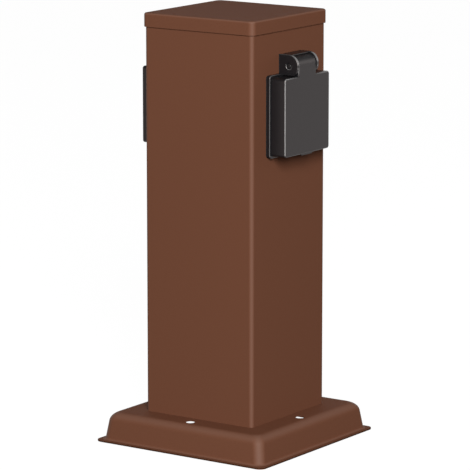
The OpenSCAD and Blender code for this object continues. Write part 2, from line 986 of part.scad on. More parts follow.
// Ways into a clamp for its wire, from below, and for its screw, from behind
module clamp_ways() {
    translate([wire_in, 0, -clamp_h])
        cylinder(h = clamp_h - wire_stop, r = wire_hole_r);
    round_off_face(clamp_back - eps, wire_in, clamp_screw_d / 2 + bore_gap);
}

module contacts() {
    sleeve_front = floor_back - seat_gap;
    color(brass)
        at_socket()
            for (y = [-1, 1])
                translate([0, y * pin_pitch / 2, 0])
                    difference() {
                        union() {
                            clamp_block(0);
                            round_off_face(clamp_front - eps, sleeve_front, sleeve_r);
                        }
                        round_off_face(clamp_front + sleeve_floor, sleeve_front + eps, sleeve_bore_r);
                        clamp_ways();
                    }
}

module contact_screws() {
    color(zinc)
        at_socket()
            for (y = [-1:1])
                translate([clamp_back, y * pin_pitch / 2, 0])
                    rotate([0, 90, 0])
                        slotted_screw(clamp_screw_d, contact_screw_len, clamp_head_d, clamp_head_t);
}

// Earth clip: a strap behind the dish's floor with a sprung arm along the top and bottom of the dish
module earth_clip() {
    arm = [
        [insert_front - arm_tip_at, strap_z + arm_flare],
        [insert_front - arm_bow_at, strap_z - arm_bow],
        [insert_front - arm_root_at, strap_z],
        [strap_back, strap_z]
    ];
    path = concat(arm, [for (i = [len(arm) - 1:-1:0]) [arm[i].x, -arm[i].y]]);
    color(brass)
        at_socket()
            difference() {
                union() {
                    rotate([90, 0, 0])
                        linear_extrude(strap_w, center = true)
                            polygon(strip(path, strap_t));
                    clamp_block(0);
                    translate([clamp_front - eps, -strap_w / 2, -clamp_h / 4])
                        cube([strap_back - clamp_front + eps, strap_w, clamp_h / 2]);
                }
                clamp_ways();
            }
}

module hinge_pin() {
    color(oxide_black)
        at_socket()
            at_hinge()
                across(hinge_pin_r, hood_w - 2 * (pin_recess - pin_proud));
}

// Lid spring: a coil round the pin, with one leg against the hood's back and the other under the knuckle

spring_count = spring_turns * spring_steps;
spring_low = spring_r + spring_wire / 2;
spring_leg_back = min(hinge_reach - pocket_back, sqrt(pocket_r ^ 2 - spring_low ^ 2)) - lid_gap;
function spring_point(i) =
    let (turn = -90 + 360 * i / spring_steps)
    let (y = spring_pitch * spring_turns * (i / spring_count - 0.5))
    [spring_r * cos(turn), y, spring_r * sin(turn)];
spring_coil = [for (i = [0:spring_count]) spring_point(i)];
spring_path = concat(
    [spring_coil[0] - [spring_leg_back, 0, 0]],
    spring_coil,
    [spring_coil[spring_count] + [spring_leg, 0, 0]]
);
spring_self_gap = min([
    for (i = [0:spring_count - spring_steps])
        norm(spring_coil[i + spring_steps] - spring_coil[i])
]) - spring_wire;
echo("least gap between the turns of a lid spring", spring_self_gap);

module lid_spring() {
    color(zinc)
        at_socket()
            at_hinge()
                skin(tube_rings(spring_path, spring_wire / 2, spring_sides, [0, 1, 0]));
}

module lid() {
    hollow_w = lid_w - 2 * lid_wall;
    hollow_h = lid_h - 2 * lid_wall;
    color(moulded_black)
        at_socket()
            difference() {
                union() {
                    off_face(lid_back)
                        soft_plate(lid_w, lid_h, lid_corner, lid_reach - lid_back, lid_edge);
                    knuckle();
                    finger_lip();
                }
                off_face(lid_back - eps)
                    rounded_plate(hollow_w, hollow_h, hollow_corner, lid_inside - lid_back + eps);
                hinge_relief();
                at_hinge() {
                    across(hinge_pin_r + bore_gap, knuckle_w + eps);
                    across(spring_room_r, spring_room_w);
                }
            }
}

// Knuckle: a hub on the pin, a round nose over it, and a tab down to the lid with a small fillet each side
module knuckle() {
    tab_low = lid_top - lid_wall / 2;
    far = 4 * knuckle_r;
    at_hinge() {
        across(hub_r, knuckle_w);
        intersection() {
            across(knuckle_r, knuckle_w);
            rotate([90, 0, 0])
                linear_extrude(2 * knuckle_w, center = true)
                    polygon([
                        [0, 0], [0, -far], [far, -far], [far, far],
                        [far * cos(knuckle_end), far * sin(knuckle_end)]
                    ]);
        }
    }
    translate([hinge_reach, -knuckle_w / 2, tab_low])
        cube([knuckle_r, knuckle_w, hinge_up - tab_low]);
    fillet_x = lid_reach - 2 * lid_edge;
    for (side = [-1, 1])
        difference() {
            translate([fillet_x, side * (knuckle_w + tab_fillet) / 2, lid_top + tab_fillet / 2])
                cube([2 * lid_edge, tab_fillet, tab_fillet], center = true);
            translate([0, side * (knuckle_w / 2 + tab_fillet), lid_top + tab_fillet])
                round_off_face(0, 2 * lid_reach, tab_fillet);
        }
}

// Clears the cheeks of the hood as the lid swings
module hinge_relief() {
    relief_w = cheek_t + 2 * lid_gap;
    for (side = [-1, 1])
        at_hinge()
            translate([0, side * (knuckle_w + relief_w) / 2, 0])
                across(relief_r, relief_w);
}

module finger_lip() {
    half = lip_w / 2;
    off_face(lid_reach - lid_edge / 2 - lip_depth)
        linear_extrude(lip_depth)
            polygon([
                [-half, lid_wall / 2 - lid_top],
                [half, lid_wall / 2 - lid_top],
                [half, -lid_top],
                [half - lip_slope, -lid_top - lip_drop],
                [lip_slope - half, -lid_top - lip_drop],
                [-half, -lid_top]
            ]);
}

module lid_seal() {
    seal_back = collar_reach + lid_gap;
    color(rubber_black)
        at_socket()
            difference() {
                round_off_face(seal_back, lid_inside, seal_out);
                round_off_face(seal_back - eps, lid_inside + eps, seal_in);
            }
}

base_plinth();
column();
top_cap();
cap_seal();
cap_clips();
foot_frame();
foot_bolts();
foot_nuts();
cable_grommet();
terminal_bracket();
terminal_block();
terminal_bars();
terminal_screws();
block_screws();
earth_stud();
earth_lug();
earth_nut();
bond_wire();
socket_frame();  // right_frame
gasket();  // right_gasket
frame_screws();  // right_frame_screws
socket_insert();  // right_insert
contact_base();  // right_contact_base
contacts();  // right_contacts
contact_screws();  // right_contact_screws
earth_clip();  // right_earth_clip
hinge_pin();  // right_hinge_pin
lid_spring();  // right_lid_spring
lid();  // right_lid
lid_seal();  // right_lid_seal
socket_wire(-1, 1, live_brown);  // right_live_wire
socket_wire(1, 1, neutral_blue);  // right_neutral_wire
socket_wire(0, 1, earth_green);  // right_earth_wire
left_side() socket_frame();  // left_frame
left_side() gasket();  // left_gasket
left_side() frame_screws();  // left_frame_screws
left_side() socket_insert();  // left_insert
left_side() contact_base();  // left_contact_base
left_side() contacts();  // left_contacts
left_side() contact_screws();  // left_contact_screws
left_side() earth_clip();  // left_earth_clip
left_side() hinge_pin();  // left_hinge_pin
left_side() lid_spring();  // left_lid_spring
left_side() lid();  // left_lid
left_side() lid_seal();  // left_lid_seal
socket_wire(-1, -1, live_brown);  // left_live_wire
socket_wire(1, -1, neutral_blue);  // left_neutral_wire
socket_wire(0, -1, earth_green);  // left_earth_wire
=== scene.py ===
"""Looks of a garden socket post: a powder-coated steel column with a moulded socket on two sides."""

import json
import logging
import math
from collections.abc import Callable, Iterable, Iterator
from contextlib import contextmanager
from dataclasses import dataclass
from enum import Enum

import bmesh
import bpy
from mathutils import Matrix, Vector


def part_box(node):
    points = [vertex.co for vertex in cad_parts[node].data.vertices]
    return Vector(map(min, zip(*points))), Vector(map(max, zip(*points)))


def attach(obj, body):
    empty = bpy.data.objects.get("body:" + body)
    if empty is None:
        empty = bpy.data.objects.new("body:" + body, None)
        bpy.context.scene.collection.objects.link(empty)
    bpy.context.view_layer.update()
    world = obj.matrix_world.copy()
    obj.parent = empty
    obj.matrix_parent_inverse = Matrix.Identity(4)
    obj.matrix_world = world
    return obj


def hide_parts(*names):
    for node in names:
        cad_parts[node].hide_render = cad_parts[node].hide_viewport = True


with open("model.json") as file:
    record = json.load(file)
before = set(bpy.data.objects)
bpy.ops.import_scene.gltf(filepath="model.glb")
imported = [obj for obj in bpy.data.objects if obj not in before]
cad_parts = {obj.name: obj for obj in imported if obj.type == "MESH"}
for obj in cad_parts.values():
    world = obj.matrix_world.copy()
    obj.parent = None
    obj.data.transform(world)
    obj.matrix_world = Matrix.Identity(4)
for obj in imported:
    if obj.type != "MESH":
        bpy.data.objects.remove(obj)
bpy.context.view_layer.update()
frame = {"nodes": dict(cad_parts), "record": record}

MM = 0.001
PLACE_TOLERANCE = 0.01 * MM
MERGE_TOLERANCE = 0.001 * MM
# Cosine past which two directions count as one
PARALLEL = 0.999
# Facets that meet at less than this angle belong to one rounding
SMOOTH_ANGLE = math.radians(32.0)
# Upward part of a normal below which a surface counts as facing the ground
UNDERSIDE = -0.2
ROUND_SIDES = 72
# Values of a point by which a piece marks where the finish paints a highlight and more gloss on its rounded
# edges, and a dark shade along its foot
EDGE_HIGHLIGHT_ATTRIBUTE = "edge"
FOOT_SHADE_ATTRIBUTE = "foot"
# Numbers of a Mix node's colour sockets, which share their names with its other sockets
COLOUR_A = 6
COLOUR_B = 7
COLOUR_OUT = 2
log = logging.getLogger("socket_post")


class Axis(Enum):
    """The three directions of the post's frame."""

    X = Vector((1.0, 0.0, 0.0))
    Y = Vector((0.0, 1.0, 0.0))
    Z = Vector((0.0, 0.0, 1.0))


class Side(Enum):
    """The two socket sides, each with the turn that brings the right-hand pieces there."""

    RIGHT = 0.0
    LEFT = math.pi

    @property
    def label(self) -> str:
        """Start of the names of this side's pieces."""
        return self.name.lower()


class Slot(Enum):
    """Material slots of the record."""

    COAT = "brown_powder_coat"
    BLACK = "black_moulding"
    GREY = "grey_moulding"
    RUBBER = "black_rubber"
    WHITE = "white_moulding"
    ZINC = "zinc_steel"
    OXIDE = "blackened_steel"
    BRASS = "brass"
    LIVE = "live_insulation"
    NEUTRAL = "neutral_insulation"
    EARTH = "earth_insulation"


class Cut(Enum):
    """Ways to combine a piece with a tool."""

    JOIN = "UNION"
    TAKE_AWAY = "DIFFERENCE"


def linear(hex_colour: str) -> tuple[float, float, float, float]:
    """Turns an sRGB hex colour into the linear colour that a shader takes, by the standard's curve.

    Args:
        hex_colour: Colour such as "#6B4433".

    Returns:
        Linear red, green and blue, with an alpha of 1.
    """
    shares = [int(hex_colour[i:i + 2], 16) / 255 for i in (1, 3, 5)]
    red, green, blue = [s / 12.92 if s <= 0.04045 else ((s + 0.055) / 1.055) ** 2.4 for s in shares]
    return red, green, blue, 1.0


def empty_tree(owner: bpy.types.Material | bpy.types.World) -> bpy.types.NodeTree:
    """Gives a material or a sky an empty node tree.

    Args:
        owner: The material or sky.

    Returns:
        Its node tree.
    """
    owner.use_nodes = True
    owner.node_tree.nodes.clear()
    return owner.node_tree


def add_node(
    tree: bpy.types.NodeTree,
    kind: str,
    settings: dict[str, object] | None = None,
    inputs: dict[str | int, object] | None = None,
) -> bpy.types.Node:
    """Adds a shader node with its settings and links.

    Args:
        tree: Node tree that gets the node.
        kind: Blender's name for the node's type.
        settings: Properties of the node, by name.
        inputs: Values, or sockets to link from, by the input's name or number.

    Returns:
        The new node.
    """
    node = tree.nodes.new(kind)
    for name, value in (settings or {}).items():
        setattr(node, name, value)
    for name, value in (inputs or {}).items():
        if isinstance(value, bpy.types.NodeSocket):
            tree.links.new(value, node.inputs[name])
        else:
            node.inputs[name].default_value = value
    return node


@dataclass(frozen=True)
class Finish:
    """A surface that is coloured and roughened by a fine grain.

    The grain is a noise with its size in millimetres. It mottles the colour, shifts the roughness and
    lifts the surface a little. Where a piece marks its rounded edges, a lighter colour is painted in as a
    highlight and they turn glossier; where it marks its foot, a darker colour is painted in as shade.
    """

    name: str
    slot: Slot
    colour: str
    shade: str
    roughness: float
    swing: float
    grain_mm: float
    relief_mm: float
    grain_detail: float = 3.0
    grain_fade: float = 0.6
    metallic: float = 0.0
    ior: float = 1.5
    specular: float = 0.5
    shine: str = "#FFFFFF"
    edge_highlight_colour: str = ""
    edge_roughness: float = 0.0
    edge_specular: float = 0.0
    foot_shade_colour: str = ""

    def material(self) -> bpy.types.Material:
        """Builds the material, or returns it if it was built before.

        Returns:
            The finished material.
        """
        found = bpy.data.materials.get(self.name)
        if found:
            return found
        material = bpy.data.materials.new(self.name)
        tree = empty_tree(material)
        shader = self.surface(tree)
        add_node(tree, "ShaderNodeOutputMaterial", None, {"Surface": shader.outputs["BSDF"]})
        return material

    def surface(self, tree: bpy.types.NodeTree) -> bpy.types.Node:
        """Adds the shader with its colour, roughness and relief.

        Args:
            tree: Node tree of the material.

        Returns:
            The shader node.
        """
        place = add_node(tree, "ShaderNodeTexCoord")
        grain = {
            "Vector": place.outputs["Object"], "Scale": 1.0 / (self.grain_mm * MM),
            "Detail": self.grain_detail, "Roughness": self.grain_fade,
        }
        height = add_node(tree, "ShaderNodeTexNoise", {"noise_dimensions": "3D"}, grain).outputs["Fac"]
        tint = add_node(
            tree, "ShaderNodeMix", {"data_type": "RGBA"},
            {"Factor": height, COLOUR_A: linear(self.shade), COLOUR_B: linear(self.colour)},
        ).outputs[COLOUR_OUT]
        swing = {"To Min": self.roughness - self.swing, "To Max": self.roughness + self.swing}
        gloss = add_node(tree, "ShaderNodeMapRange", None, {"Value": height, **swing}).outputs["Result"]
        mirror = self.specular
        # Where a piece marks its rounded edges, a lighter colour is painted in as a highlight, with less
        # roughness and more shine
        if self.edge_highlight_colour:
            tint, edge = self.marked(tree, tint, EDGE_HIGHLIGHT_ATTRIBUTE, self.edge_highlight_colour)
            gloss, mirror = [
                add_node(
                    tree, "ShaderNodeMix", {"data_type": "FLOAT"}, {"Factor": edge, "A": flat, "B": rounded},
                ).outputs["Result"]
                for flat, rounded in ((gloss, self.edge_roughness), (mirror, self.edge_specular))
            ]
        # Where a piece marks its foot, a dark colour is painted in as shade
        if self.foot_shade_colour:
            tint, _ = self.marked(tree, tint, FOOT_SHADE_ATTRIBUTE, self.foot_shade_colour)
        relief = add_node(
            tree, "ShaderNodeBump", None, {"Height": height, "Distance": self.relief_mm * MM},
        )
        return add_node(
            tree, "ShaderNodeBsdfPrincipled", None,
            {
                "Base Color": tint,
                "Roughness": gloss,
                "Metallic": self.metallic,
                "IOR": self.ior,
                "Specular IOR Level": mirror,
                "Specular Tint": linear(self.shine),
                "Normal": relief.outputs["Normal"],
            },
        )

    @staticmethod
    def marked(
        tree: bpy.types.NodeTree, tint: bpy.types.NodeSocket, attribute: str, colour: str,
    ) -> tuple[bpy.types.NodeSocket, bpy.types.NodeSocket]:
        """Mixes in a painted colour where a piece marks its points: a highlight on rounded edges, or shade
        along the foot.

        Args:
            tree: Node tree of the material.
            tint: Colour elsewhere.
            attribute: Name of the mark.
            colour: Colour where the mark is 1.

        Returns:
            The mixed colour and the mark.
        """
        mark = add_node(tree, "ShaderNodeAttribute", {"attribute_name": attribute}).outputs["Fac"]
        mixed = add_node(
            tree, "ShaderNodeMix", {"data_type": "RGBA"},
            {"Factor": mark, COLOUR_A: tint, COLOUR_B: linear(colour)},
        )
        return mixed.outputs[COLOUR_OUT], mark


# The grains of powder, moulds and tools are a tenth to a third of a millimetre wide, too fine to show, so
# they are drawn 0.6 to 2.5 mm wide

# Polyester powder coat, sprayed and baked: matt, with a fine sandy texture that breaks up the light.
# Over a folded edge it is smoother and glossier, and a lighter colour is painted in there as a highlight.
# Along the rim's foot a dark colour is painted in as the shade where it meets the ground
COAT = Finish(
    "baked_brown_powder_coat", Slot.COAT, "#724A38", "#694230", roughness=0.7, swing=0.06, grain_mm=1.1,
    relief_mm=0.03, specular=0.02, edge_highlight_colour="#8A6F62", edge_roughness=0.45, edge_specular=0.6,
    foot_shade_colour="#432719",
)
# Polypropylene from an eroded mould: black and satin, with a fine even grain and a slightly warm shine.
# Its rounded edges are glossier, with a light grey highlight painted into their colour
BLACK = Finish(
    "moulded_black_polypropylene", Slot.BLACK, "#1D1D1F", "#171719", roughness=0.34, swing=0.04, grain_mm=0.7,
    relief_mm=0.01, specular=0.31, shine="#FFE4DB", edge_highlight_colour="#8B8C8C", edge_roughness=0.42,
    edge_specular=1.0,
)
# Polyamide of the socket insert: dark grey, with a soft shine
GREY = Finish(
    "moulded_grey_polyamide", Slot.GREY, "#3C3C3E", "#343436", roughness=0.38, swing=0.04, grain_mm=0.8,
    relief_mm=0.01,
)
# Moulded sealing rubber: dull, with a dusty bloom
RUBBER = Finish(
    "moulded_black_rubber", Slot.RUBBER, "#1F1F20", "#171718", roughness=0.78, swing=0.06, grain_mm=1.5,
    relief_mm=0.02, specular=0.3,
)
# Moulded terminal plastic: white, glossy and plain
WHITE = Finish(
    "moulded_white_polyamide", Slot.WHITE, "#E6E3DA", "#DCD8CE", roughness=0.3, swing=0.04, grain_mm=2.0,
    relief_mm=0.01,
)
# Zinc-plated steel: pale blue-grey metal with a faint cloudy spangle
ZINC = Finish(
    "zinc_plated_steel", Slot.ZINC, "#C0C4C9", "#A9ADB3", roughness=0.34, swing=0.08, grain_mm=2.5,
    relief_mm=0.005, metallic=1.0,
)
# Turned steel with a black oxide skin: nearly black, with a soft oily shine
OXIDE = Finish(
    "black_oxide_steel", Slot.OXIDE, "#262627", "#1F1F20", roughness=0.32, swing=0.05, grain_mm=0.6,
    relief_mm=0.005,
)
# Stamped brass: yellow metal, slightly drawn
BRASS = Finish(
    "stamped_brass", Slot.BRASS, "#C9A852", "#B5923F", roughness=0.3, swing=0.06, grain_mm=2.0,
    relief_mm=0.005, metallic=1.0,
)
# Extruded wire insulation: soft satin vinyl in the colour of its wire
LIVE, NEUTRAL, EARTH = [
    Finish(
        f"{name}_vinyl_insulation", slot, colour, shade, roughness=0.45, swing=0.04, grain_mm=1.0,
        relief_mm=0.01,
    )
    for name, slot, colour, shade in (
        ("brown", Slot.LIVE, "#5E3422", "#532D1C"),
        ("blue", Slot.NEUTRAL, "#2E63AC", "#29589A"),
        ("green", Slot.EARTH, "#86AA34", "#769A2A"),
    )
]
FINISHES = {
    finish.slot.value: finish
    for finish in (COAT, BLACK, GREY, RUBBER, WHITE, ZINC, OXIDE, BRASS, LIVE, NEUTRAL, EARTH)
}


def runs_along(edge: bmesh.types.BMEdge, axis: Axis) -> bool:
    """Says whether an edge runs along a direction."""
    first, second = edge.verts
    return abs((second.co - first.co).normalized().dot(axis.value)) > PARALLEL


def lies_at(part: bmesh.types.BMEdge | bmesh.types.BMFace, axis: Axis, place: float) -> bool:
    """Says whether an edge or face lies wholly at one place along a direction."""
    return all(abs(vert.co.dot(axis.value) - place) < PLACE_TOLERANCE for vert in part.verts)


def leans(face: bmesh.types.BMFace) -> bool:
    """Says whether a face lies square to none of the three directions."""
    return all(abs(face.normal.dot(axis.value)) < PARALLEL for axis in Axis)


def on_circle(edge: bmesh.types.BMEdge, axis: Axis, centre: Vector, radius: float) -> bool:
    """Says whether both ends of an edge lie at a radius from a line.

    Args:
        edge: The edge.
        axis: Direction of the line.
        centre: Point on the line.
        radius: Distance from the line.

    Returns:
        Whether they do.
    """
    offs = [vert.co - centre for vert in edge.verts]
    reaches = [(off - off.dot(axis.value) * axis.value).length for off in offs]
    return all(abs(reach - radius) < PLACE_TOLERANCE for reach in reaches)


def off_square(point: Vector, half: float, corner: float) -> float:
    """Measures how far outside a square tube with rounded corners a point lies, below 0 if inside."""
    x, y = (abs(part) - half + corner for part in point.xy)
    return math.hypot(max(x, 0.0), max(y, 0.0)) + min(max(x, y), 0.0) - corner


def on_outline(edge: bmesh.types.BMEdge, half: float, corner: float, height: float) -> bool:
    """Says whether an edge lies at a height on the outline of a square tube with rounded corners."""
    off = max(abs(off_square(vert.co, half, corner)) for vert in edge.verts)
    return off < PLACE_TOLERANCE and lies_at(edge, Axis.Z, height)


def eased(share: float) -> float:
    """Turns a straight rise from 0 to 1 into one that is level at both ends."""
    return share * share * (3.0 - 2.0 * share)


class Workpiece:
    """A mesh that is shaped with Blender's own operators, as by hand."""

    def __init__(self, name: str) -> None:
        """Takes the primitive that was just added and puts its place into its mesh.

        Args:
            name: Name of the piece.
        """
        bpy.ops.object.transform_apply(location=True, rotation=True, scale=True)
        self.object: bpy.types.Object = bpy.context.object
        self.object.name = name
        self.object.data.name = name
        if EDGE_HIGHLIGHT_ATTRIBUTE not in self.object.data.attributes:
            self.object.data.attributes.new(EDGE_HIGHLIGHT_ATTRIBUTE, "FLOAT", "POINT")

    @classmethod
    def block(cls, name: str, low: Vector, high: Vector) -> "Workpiece":
        """Starts from a block.

        Args:
            name: Name of the piece.
            low: Lowest corner.
            high: Highest corner.

        Returns:
            The new workpiece.
        """
        bpy.ops.object.select_all(action="DESELECT")
        bpy.ops.mesh.primitive_cube_add(size=1.0, location=(low + high) / 2, scale=high - low)
        return cls(name)

    @classmethod
    def rod(
        cls, name: str, axis: Axis, start: Vector, length: float, radius: float, tip: float | None = None,
        sides: int = ROUND_SIDES,
    ) -> "Workpiece":
        """Starts from a rod or a cone.

        Args:
            name: Name of the piece.
            axis: Direction in which it runs from its start.
            start: Middle of its first end.
            length: Length.
            radius: Radius at its first end.
            tip: Radius at its far end, if that is another.
            sides: Number of flats round it.

        Returns:
            The new workpiece.
        """
        bpy.ops.object.select_all(action="DESELECT")
        bpy.ops.mesh.primitive_cone_add(
            vertices=sides, radius1=radius, radius2=radius if tip is None else tip, depth=length,
            location=start + length / 2 * axis.value,
            rotation=Axis.Z.value.rotation_difference(axis.value).to_euler(),
        )
        return cls(name)

    def focus(self) -> None:
        """Selects this piece alone and makes it active."""
        bpy.ops.object.select_all(action="DESELECT")
        self.object.select_set(True)
        bpy.context.view_layer.objects.active = self.object

    @contextmanager
    def editing(self, mode: str) -> Iterator[bmesh.types.BMesh]:
        """Opens edit mode with nothing selected, and closes it afterwards.

        Args:
            mode: What is selected there: VERT, EDGE or FACE.

        Yields:
            The mesh that is edited.
        """
        self.focus()
        bpy.ops.object.mode_set(mode="EDIT")
        bpy.ops.mesh.select_mode(type=mode)
        bpy.ops.mesh.select_all(action="DESELECT")
        yield bmesh.from_edit_mesh(self.object.data)
        bpy.ops.object.mode_set(mode="OBJECT")

    def pick(self, mesh: bmesh.types.BMesh, parts: Iterable, test: Callable[..., bool]) -> None:
        """Selects the vertices, edges or faces that pass a test.

        Args:
            mesh: Mesh in edit mode.
            parts: Its vertices, edges or faces.
            test: Test on one of them.
        """
        for part in [part for part in parts if test(part)]:
            part.select_set(True)
        mesh.select_flush_mode()
        bmesh.update_edit_mesh(self.object.data)

    def round_edges(
        self, radius: float, steps: int, test: Callable[[bmesh.types.BMEdge], bool], crest: float = 0.0,
    ) -> None:
        """Rounds the edges that pass a test.

        Args:
            radius: Radius of the rounding.
            steps: Number of facets across it.
            test: Test on an edge.
            crest: How strongly the rounding is marked for the finish's painted highlight and gloss.
        """
        with self.editing("EDGE") as mesh:
            self.pick(mesh, mesh.edges, test)
            bpy.ops.mesh.bevel(
                offset=radius, offset_type="OFFSET", segments=steps, affect="EDGES", clamp_overlap=False,
            )
            if crest:
                self.mark_crest(crest)

    def mark_crest(self, strength: float) -> None:
        """Marks the selected quads for the finish's painted edge highlight and gloss, most along their middle
        and not at all at their border.

        What faces the ground is left out, since no light falls there to be highlighted.

        Args:
            strength: Value at the middle.
        """
        mesh = bmesh.from_edit_mesh(self.object.data)
        mesh.normal_update()
        layer = mesh.verts.layers.float[EDGE_HIGHLIGHT_ATTRIBUTE]
        band = {face for face in mesh.faces if face.select and len(face.verts) <= 4}
        chosen = {vert for face in band for vert in face.verts}
        ring = {
            vert
            for edge in mesh.edges
            if len(edge.link_faces) == 2 and sum(face in band for face in edge.link_faces) == 1
            and edge.calc_face_angle() < SMOOTH_ANGLE
            for vert in edge.verts
        }
        depth = {vert: 0 for vert in ring}
        while ring:
            ring = {
                other
                for vert in ring
                for other in (edge.other_vert(vert) for edge in vert.link_edges)
                if other in chosen and other not in depth
            }
            reached = max(depth.values()) + 1
            depth.update({vert: reached for vert in ring})
        middle = max(depth.values(), default=0) or 1
        for vert, steps in depth.items():
            if vert.normal.z > UNDERSIDE:
                vert[layer] = max(vert[layer], strength * eased(steps / middle))
        bmesh.update_edit_mesh(self.object.data)

    def mark(self, strength: float, test: Callable[[bmesh.types.BMFace], bool]) -> None:
        """Marks the faces that pass a test for the finish's painted edge highlight and gloss.

        Args:
            strength: How strongly their middle is marked.
            test: Test on a face.
        """
        with self.editing("FACE") as mesh:
            self.pick(mesh, mesh.faces, test)
            self.mark_crest(strength)

    def mark_foot_shade(self, height: float) -> None:
        """Marks the points up to a height as the foot of the piece, where the finish paints a dark shade.

        Args:
            height: The height.
        """
        self.object.data.attributes.new(FOOT_SHADE_ATTRIBUTE, "FLOAT", "POINT")
        with self.editing("VERT") as mesh:
            layer = mesh.verts.layers.float[FOOT_SHADE_ATTRIBUTE]
            for vert in mesh.verts:
                vert[layer] = float(vert.co.z < height + PLACE_TOLERANCE)
            bmesh.update_edit_mesh(self.object.data)

    def drop_faces(self, test: Callable[[bmesh.types.BMFace], bool]) -> None:
        """Deletes the faces that pass a test.

        Args:
            test: Test on a face.
        """
        with self.editing("FACE") as mesh:
            self.pick(mesh, mesh.faces, test)
            bpy.ops.mesh.delete(type="FACE")

    def cut_off(self, place: Vector, normal: Vector) -> None:
        """Cuts off what lies beyond a plane and closes the cut.

        Args:
            place: Point on the plane.
            normal: Direction that is cut off.
        """
        with self.editing("VERT"):
            bpy.ops.mesh.select_all(action="SELECT")
            bpy.ops.mesh.bisect(plane_co=place, plane_no=normal, use_fill=True, clear_outer=True)

    def apply(self, modifier: bpy.types.Modifier) -> None:
        """Applies a modifier to the mesh."""
        self.focus()
        bpy.ops.object.modifier_apply(modifier=modifier.name)

    def combine(self, tool: "Workpiece", cut: Cut) -> None:
        """Joins a tool to the piece or takes it away, and removes the tool.

        Args:
            tool: The other workpiece.
            cut: What to do with it.
        """
        modifier = self.object.modifiers.new(cut.name, "BOOLEAN")
        modifier.operation = cut.value
        modifier.solver = "MANIFOLD"
        modifier.object = tool.object
        self.apply(modifier)
        bpy.data.objects.remove(tool.object)
        self.merge()

    def join(self, tool: "Workpiece") -> None:
        """Joins a tool to the piece."""
        self.combine(tool, Cut.JOIN)

    def take_away(self, tool: "Workpiece") -> None:
        """Takes a tool's space away from the piece."""
        self.combine(tool, Cut.TAKE_AWAY)

    def thicken(self, sheet: float) -> None:
        """Gives an open skin the thickness of a sheet, inwards.

        Args:
            sheet: The thickness.
        """
        modifier = self.object.modifiers.new("sheet", "SOLIDIFY")
        modifier.thickness = sheet
        modifier.offset = -1.0
        modifier.use_even_offset = True
        self.apply(modifier)

    def merge(self) -> None:
        """Merges doubled points and drops faces without area."""
        with self.editing("VERT"):
            bpy.ops.mesh.select_all(action="SELECT")
            bpy.ops.mesh.remove_doubles(threshold=MERGE_TOLERANCE)
            bpy.ops.mesh.dissolve_degenerate(threshold=MERGE_TOLERANCE)

    def clean(self) -> None:
        """Merges doubled points and shades rounded faces smooth between flat ones."""
        self.merge()
        self.focus()
        bpy.ops.object.shade_smooth_by_angle(angle=SMOOTH_ANGLE)
        modifier = self.object.modifiers.new("flat_faces_first", "WEIGHTED_NORMAL")
        modifier.keep_sharp = True
        self.apply(modifier)

    def turned_copy(self, turn: float) -> "Workpiece":
        """Copies the piece with a mesh of its own, turned about the middle of the post.

        Args:
            turn: Angle about the upright axis.

        Returns:
            The copy.
        """
        self.focus()
        bpy.ops.object.duplicate(linked=False)
        bpy.context.object.data.transform(Matrix.Rotation(turn, 4, "Z"))
        return Workpiece("copy")

    def dress(self, body: str, node: str, finish: Finish) -> None:
        """Gives the piece its finish, and puts it in the place of a CAD node.

        Args:
            body: Body that it rides on.
            node: Node that it stands for.
            finish: Its finish.
        """
        self.object.data.materials.clear()
        self.object.data.materials.append(finish.material())
        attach(self.object, body)
        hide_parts(node)
        log.info("%s: %d faces, for %s", self.object.name, len(self.object.data.polygons), node)

    def dress_both(self, part: str, node: str, finish: Finish, moves: bool = False) -> None:
        """Places a right-hand piece and its left-hand copy.

        Args:
            part: Last part of the pieces' names.
            node: Last part of the CAD nodes' names.
            finish: Their finish.
            moves: Whether they ride on the lids.
        """
        self.clean()
        for side in (Side.LEFT, Side.RIGHT):
            piece = self if side is Side.RIGHT else self.turned_copy(side.value)
            piece.object.name = f"{side.label}_{part}"
            piece.dress(f"{side.label}_lid" if moves else "post", f"{side.label}_{node}", finish)


@dataclass(frozen=True)
class Column:
    """Square tube, folded from sheet, with the cut-outs for both sockets."""

    sheet: float = 1.5 * MM
    corner: float = 3.5 * MM
    corner_steps: int = 10
    crest: float = 0.22
    cutout_r: float = 24.0 * MM
    screw_hole_r: float = 1.8 * MM
    screw_pitch: float = 56.0 * MM

    def build(self, socket_z: float) -> None:
        """Models the column and dresses it.

        Args:
            socket_z: Height of the sockets' centres.
        """
        low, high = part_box("column")
        column = Workpiece.block("coated_column", low, high)
        column.round_edges(self.corner, self.corner_steps, lambda edge: runs_along(edge, Axis.Z))
        column.drop_faces(lambda face: abs(face.normal.z) > PARALLEL)
        # The rounded corners get a painted highlight and more gloss from the finish
        column.mark(self.crest, leans)
        column.thicken(self.sheet)
        half = self.screw_pitch / 2
        holes = [(0.0, 0.0, self.cutout_r)]
        holes += [(y, z, self.screw_hole_r) for y in (-half, half) for z in (-half, half)]
        # Each hole goes through both walls
        for y, z, radius in holes:
            start = Vector((2 * low.x, y, socket_z + z))
            column.take_away(Workpiece.rod("hole", Axis.X, start, 4 * high.x, radius))
        column.clean()
        column.dress("post", "column", COAT)


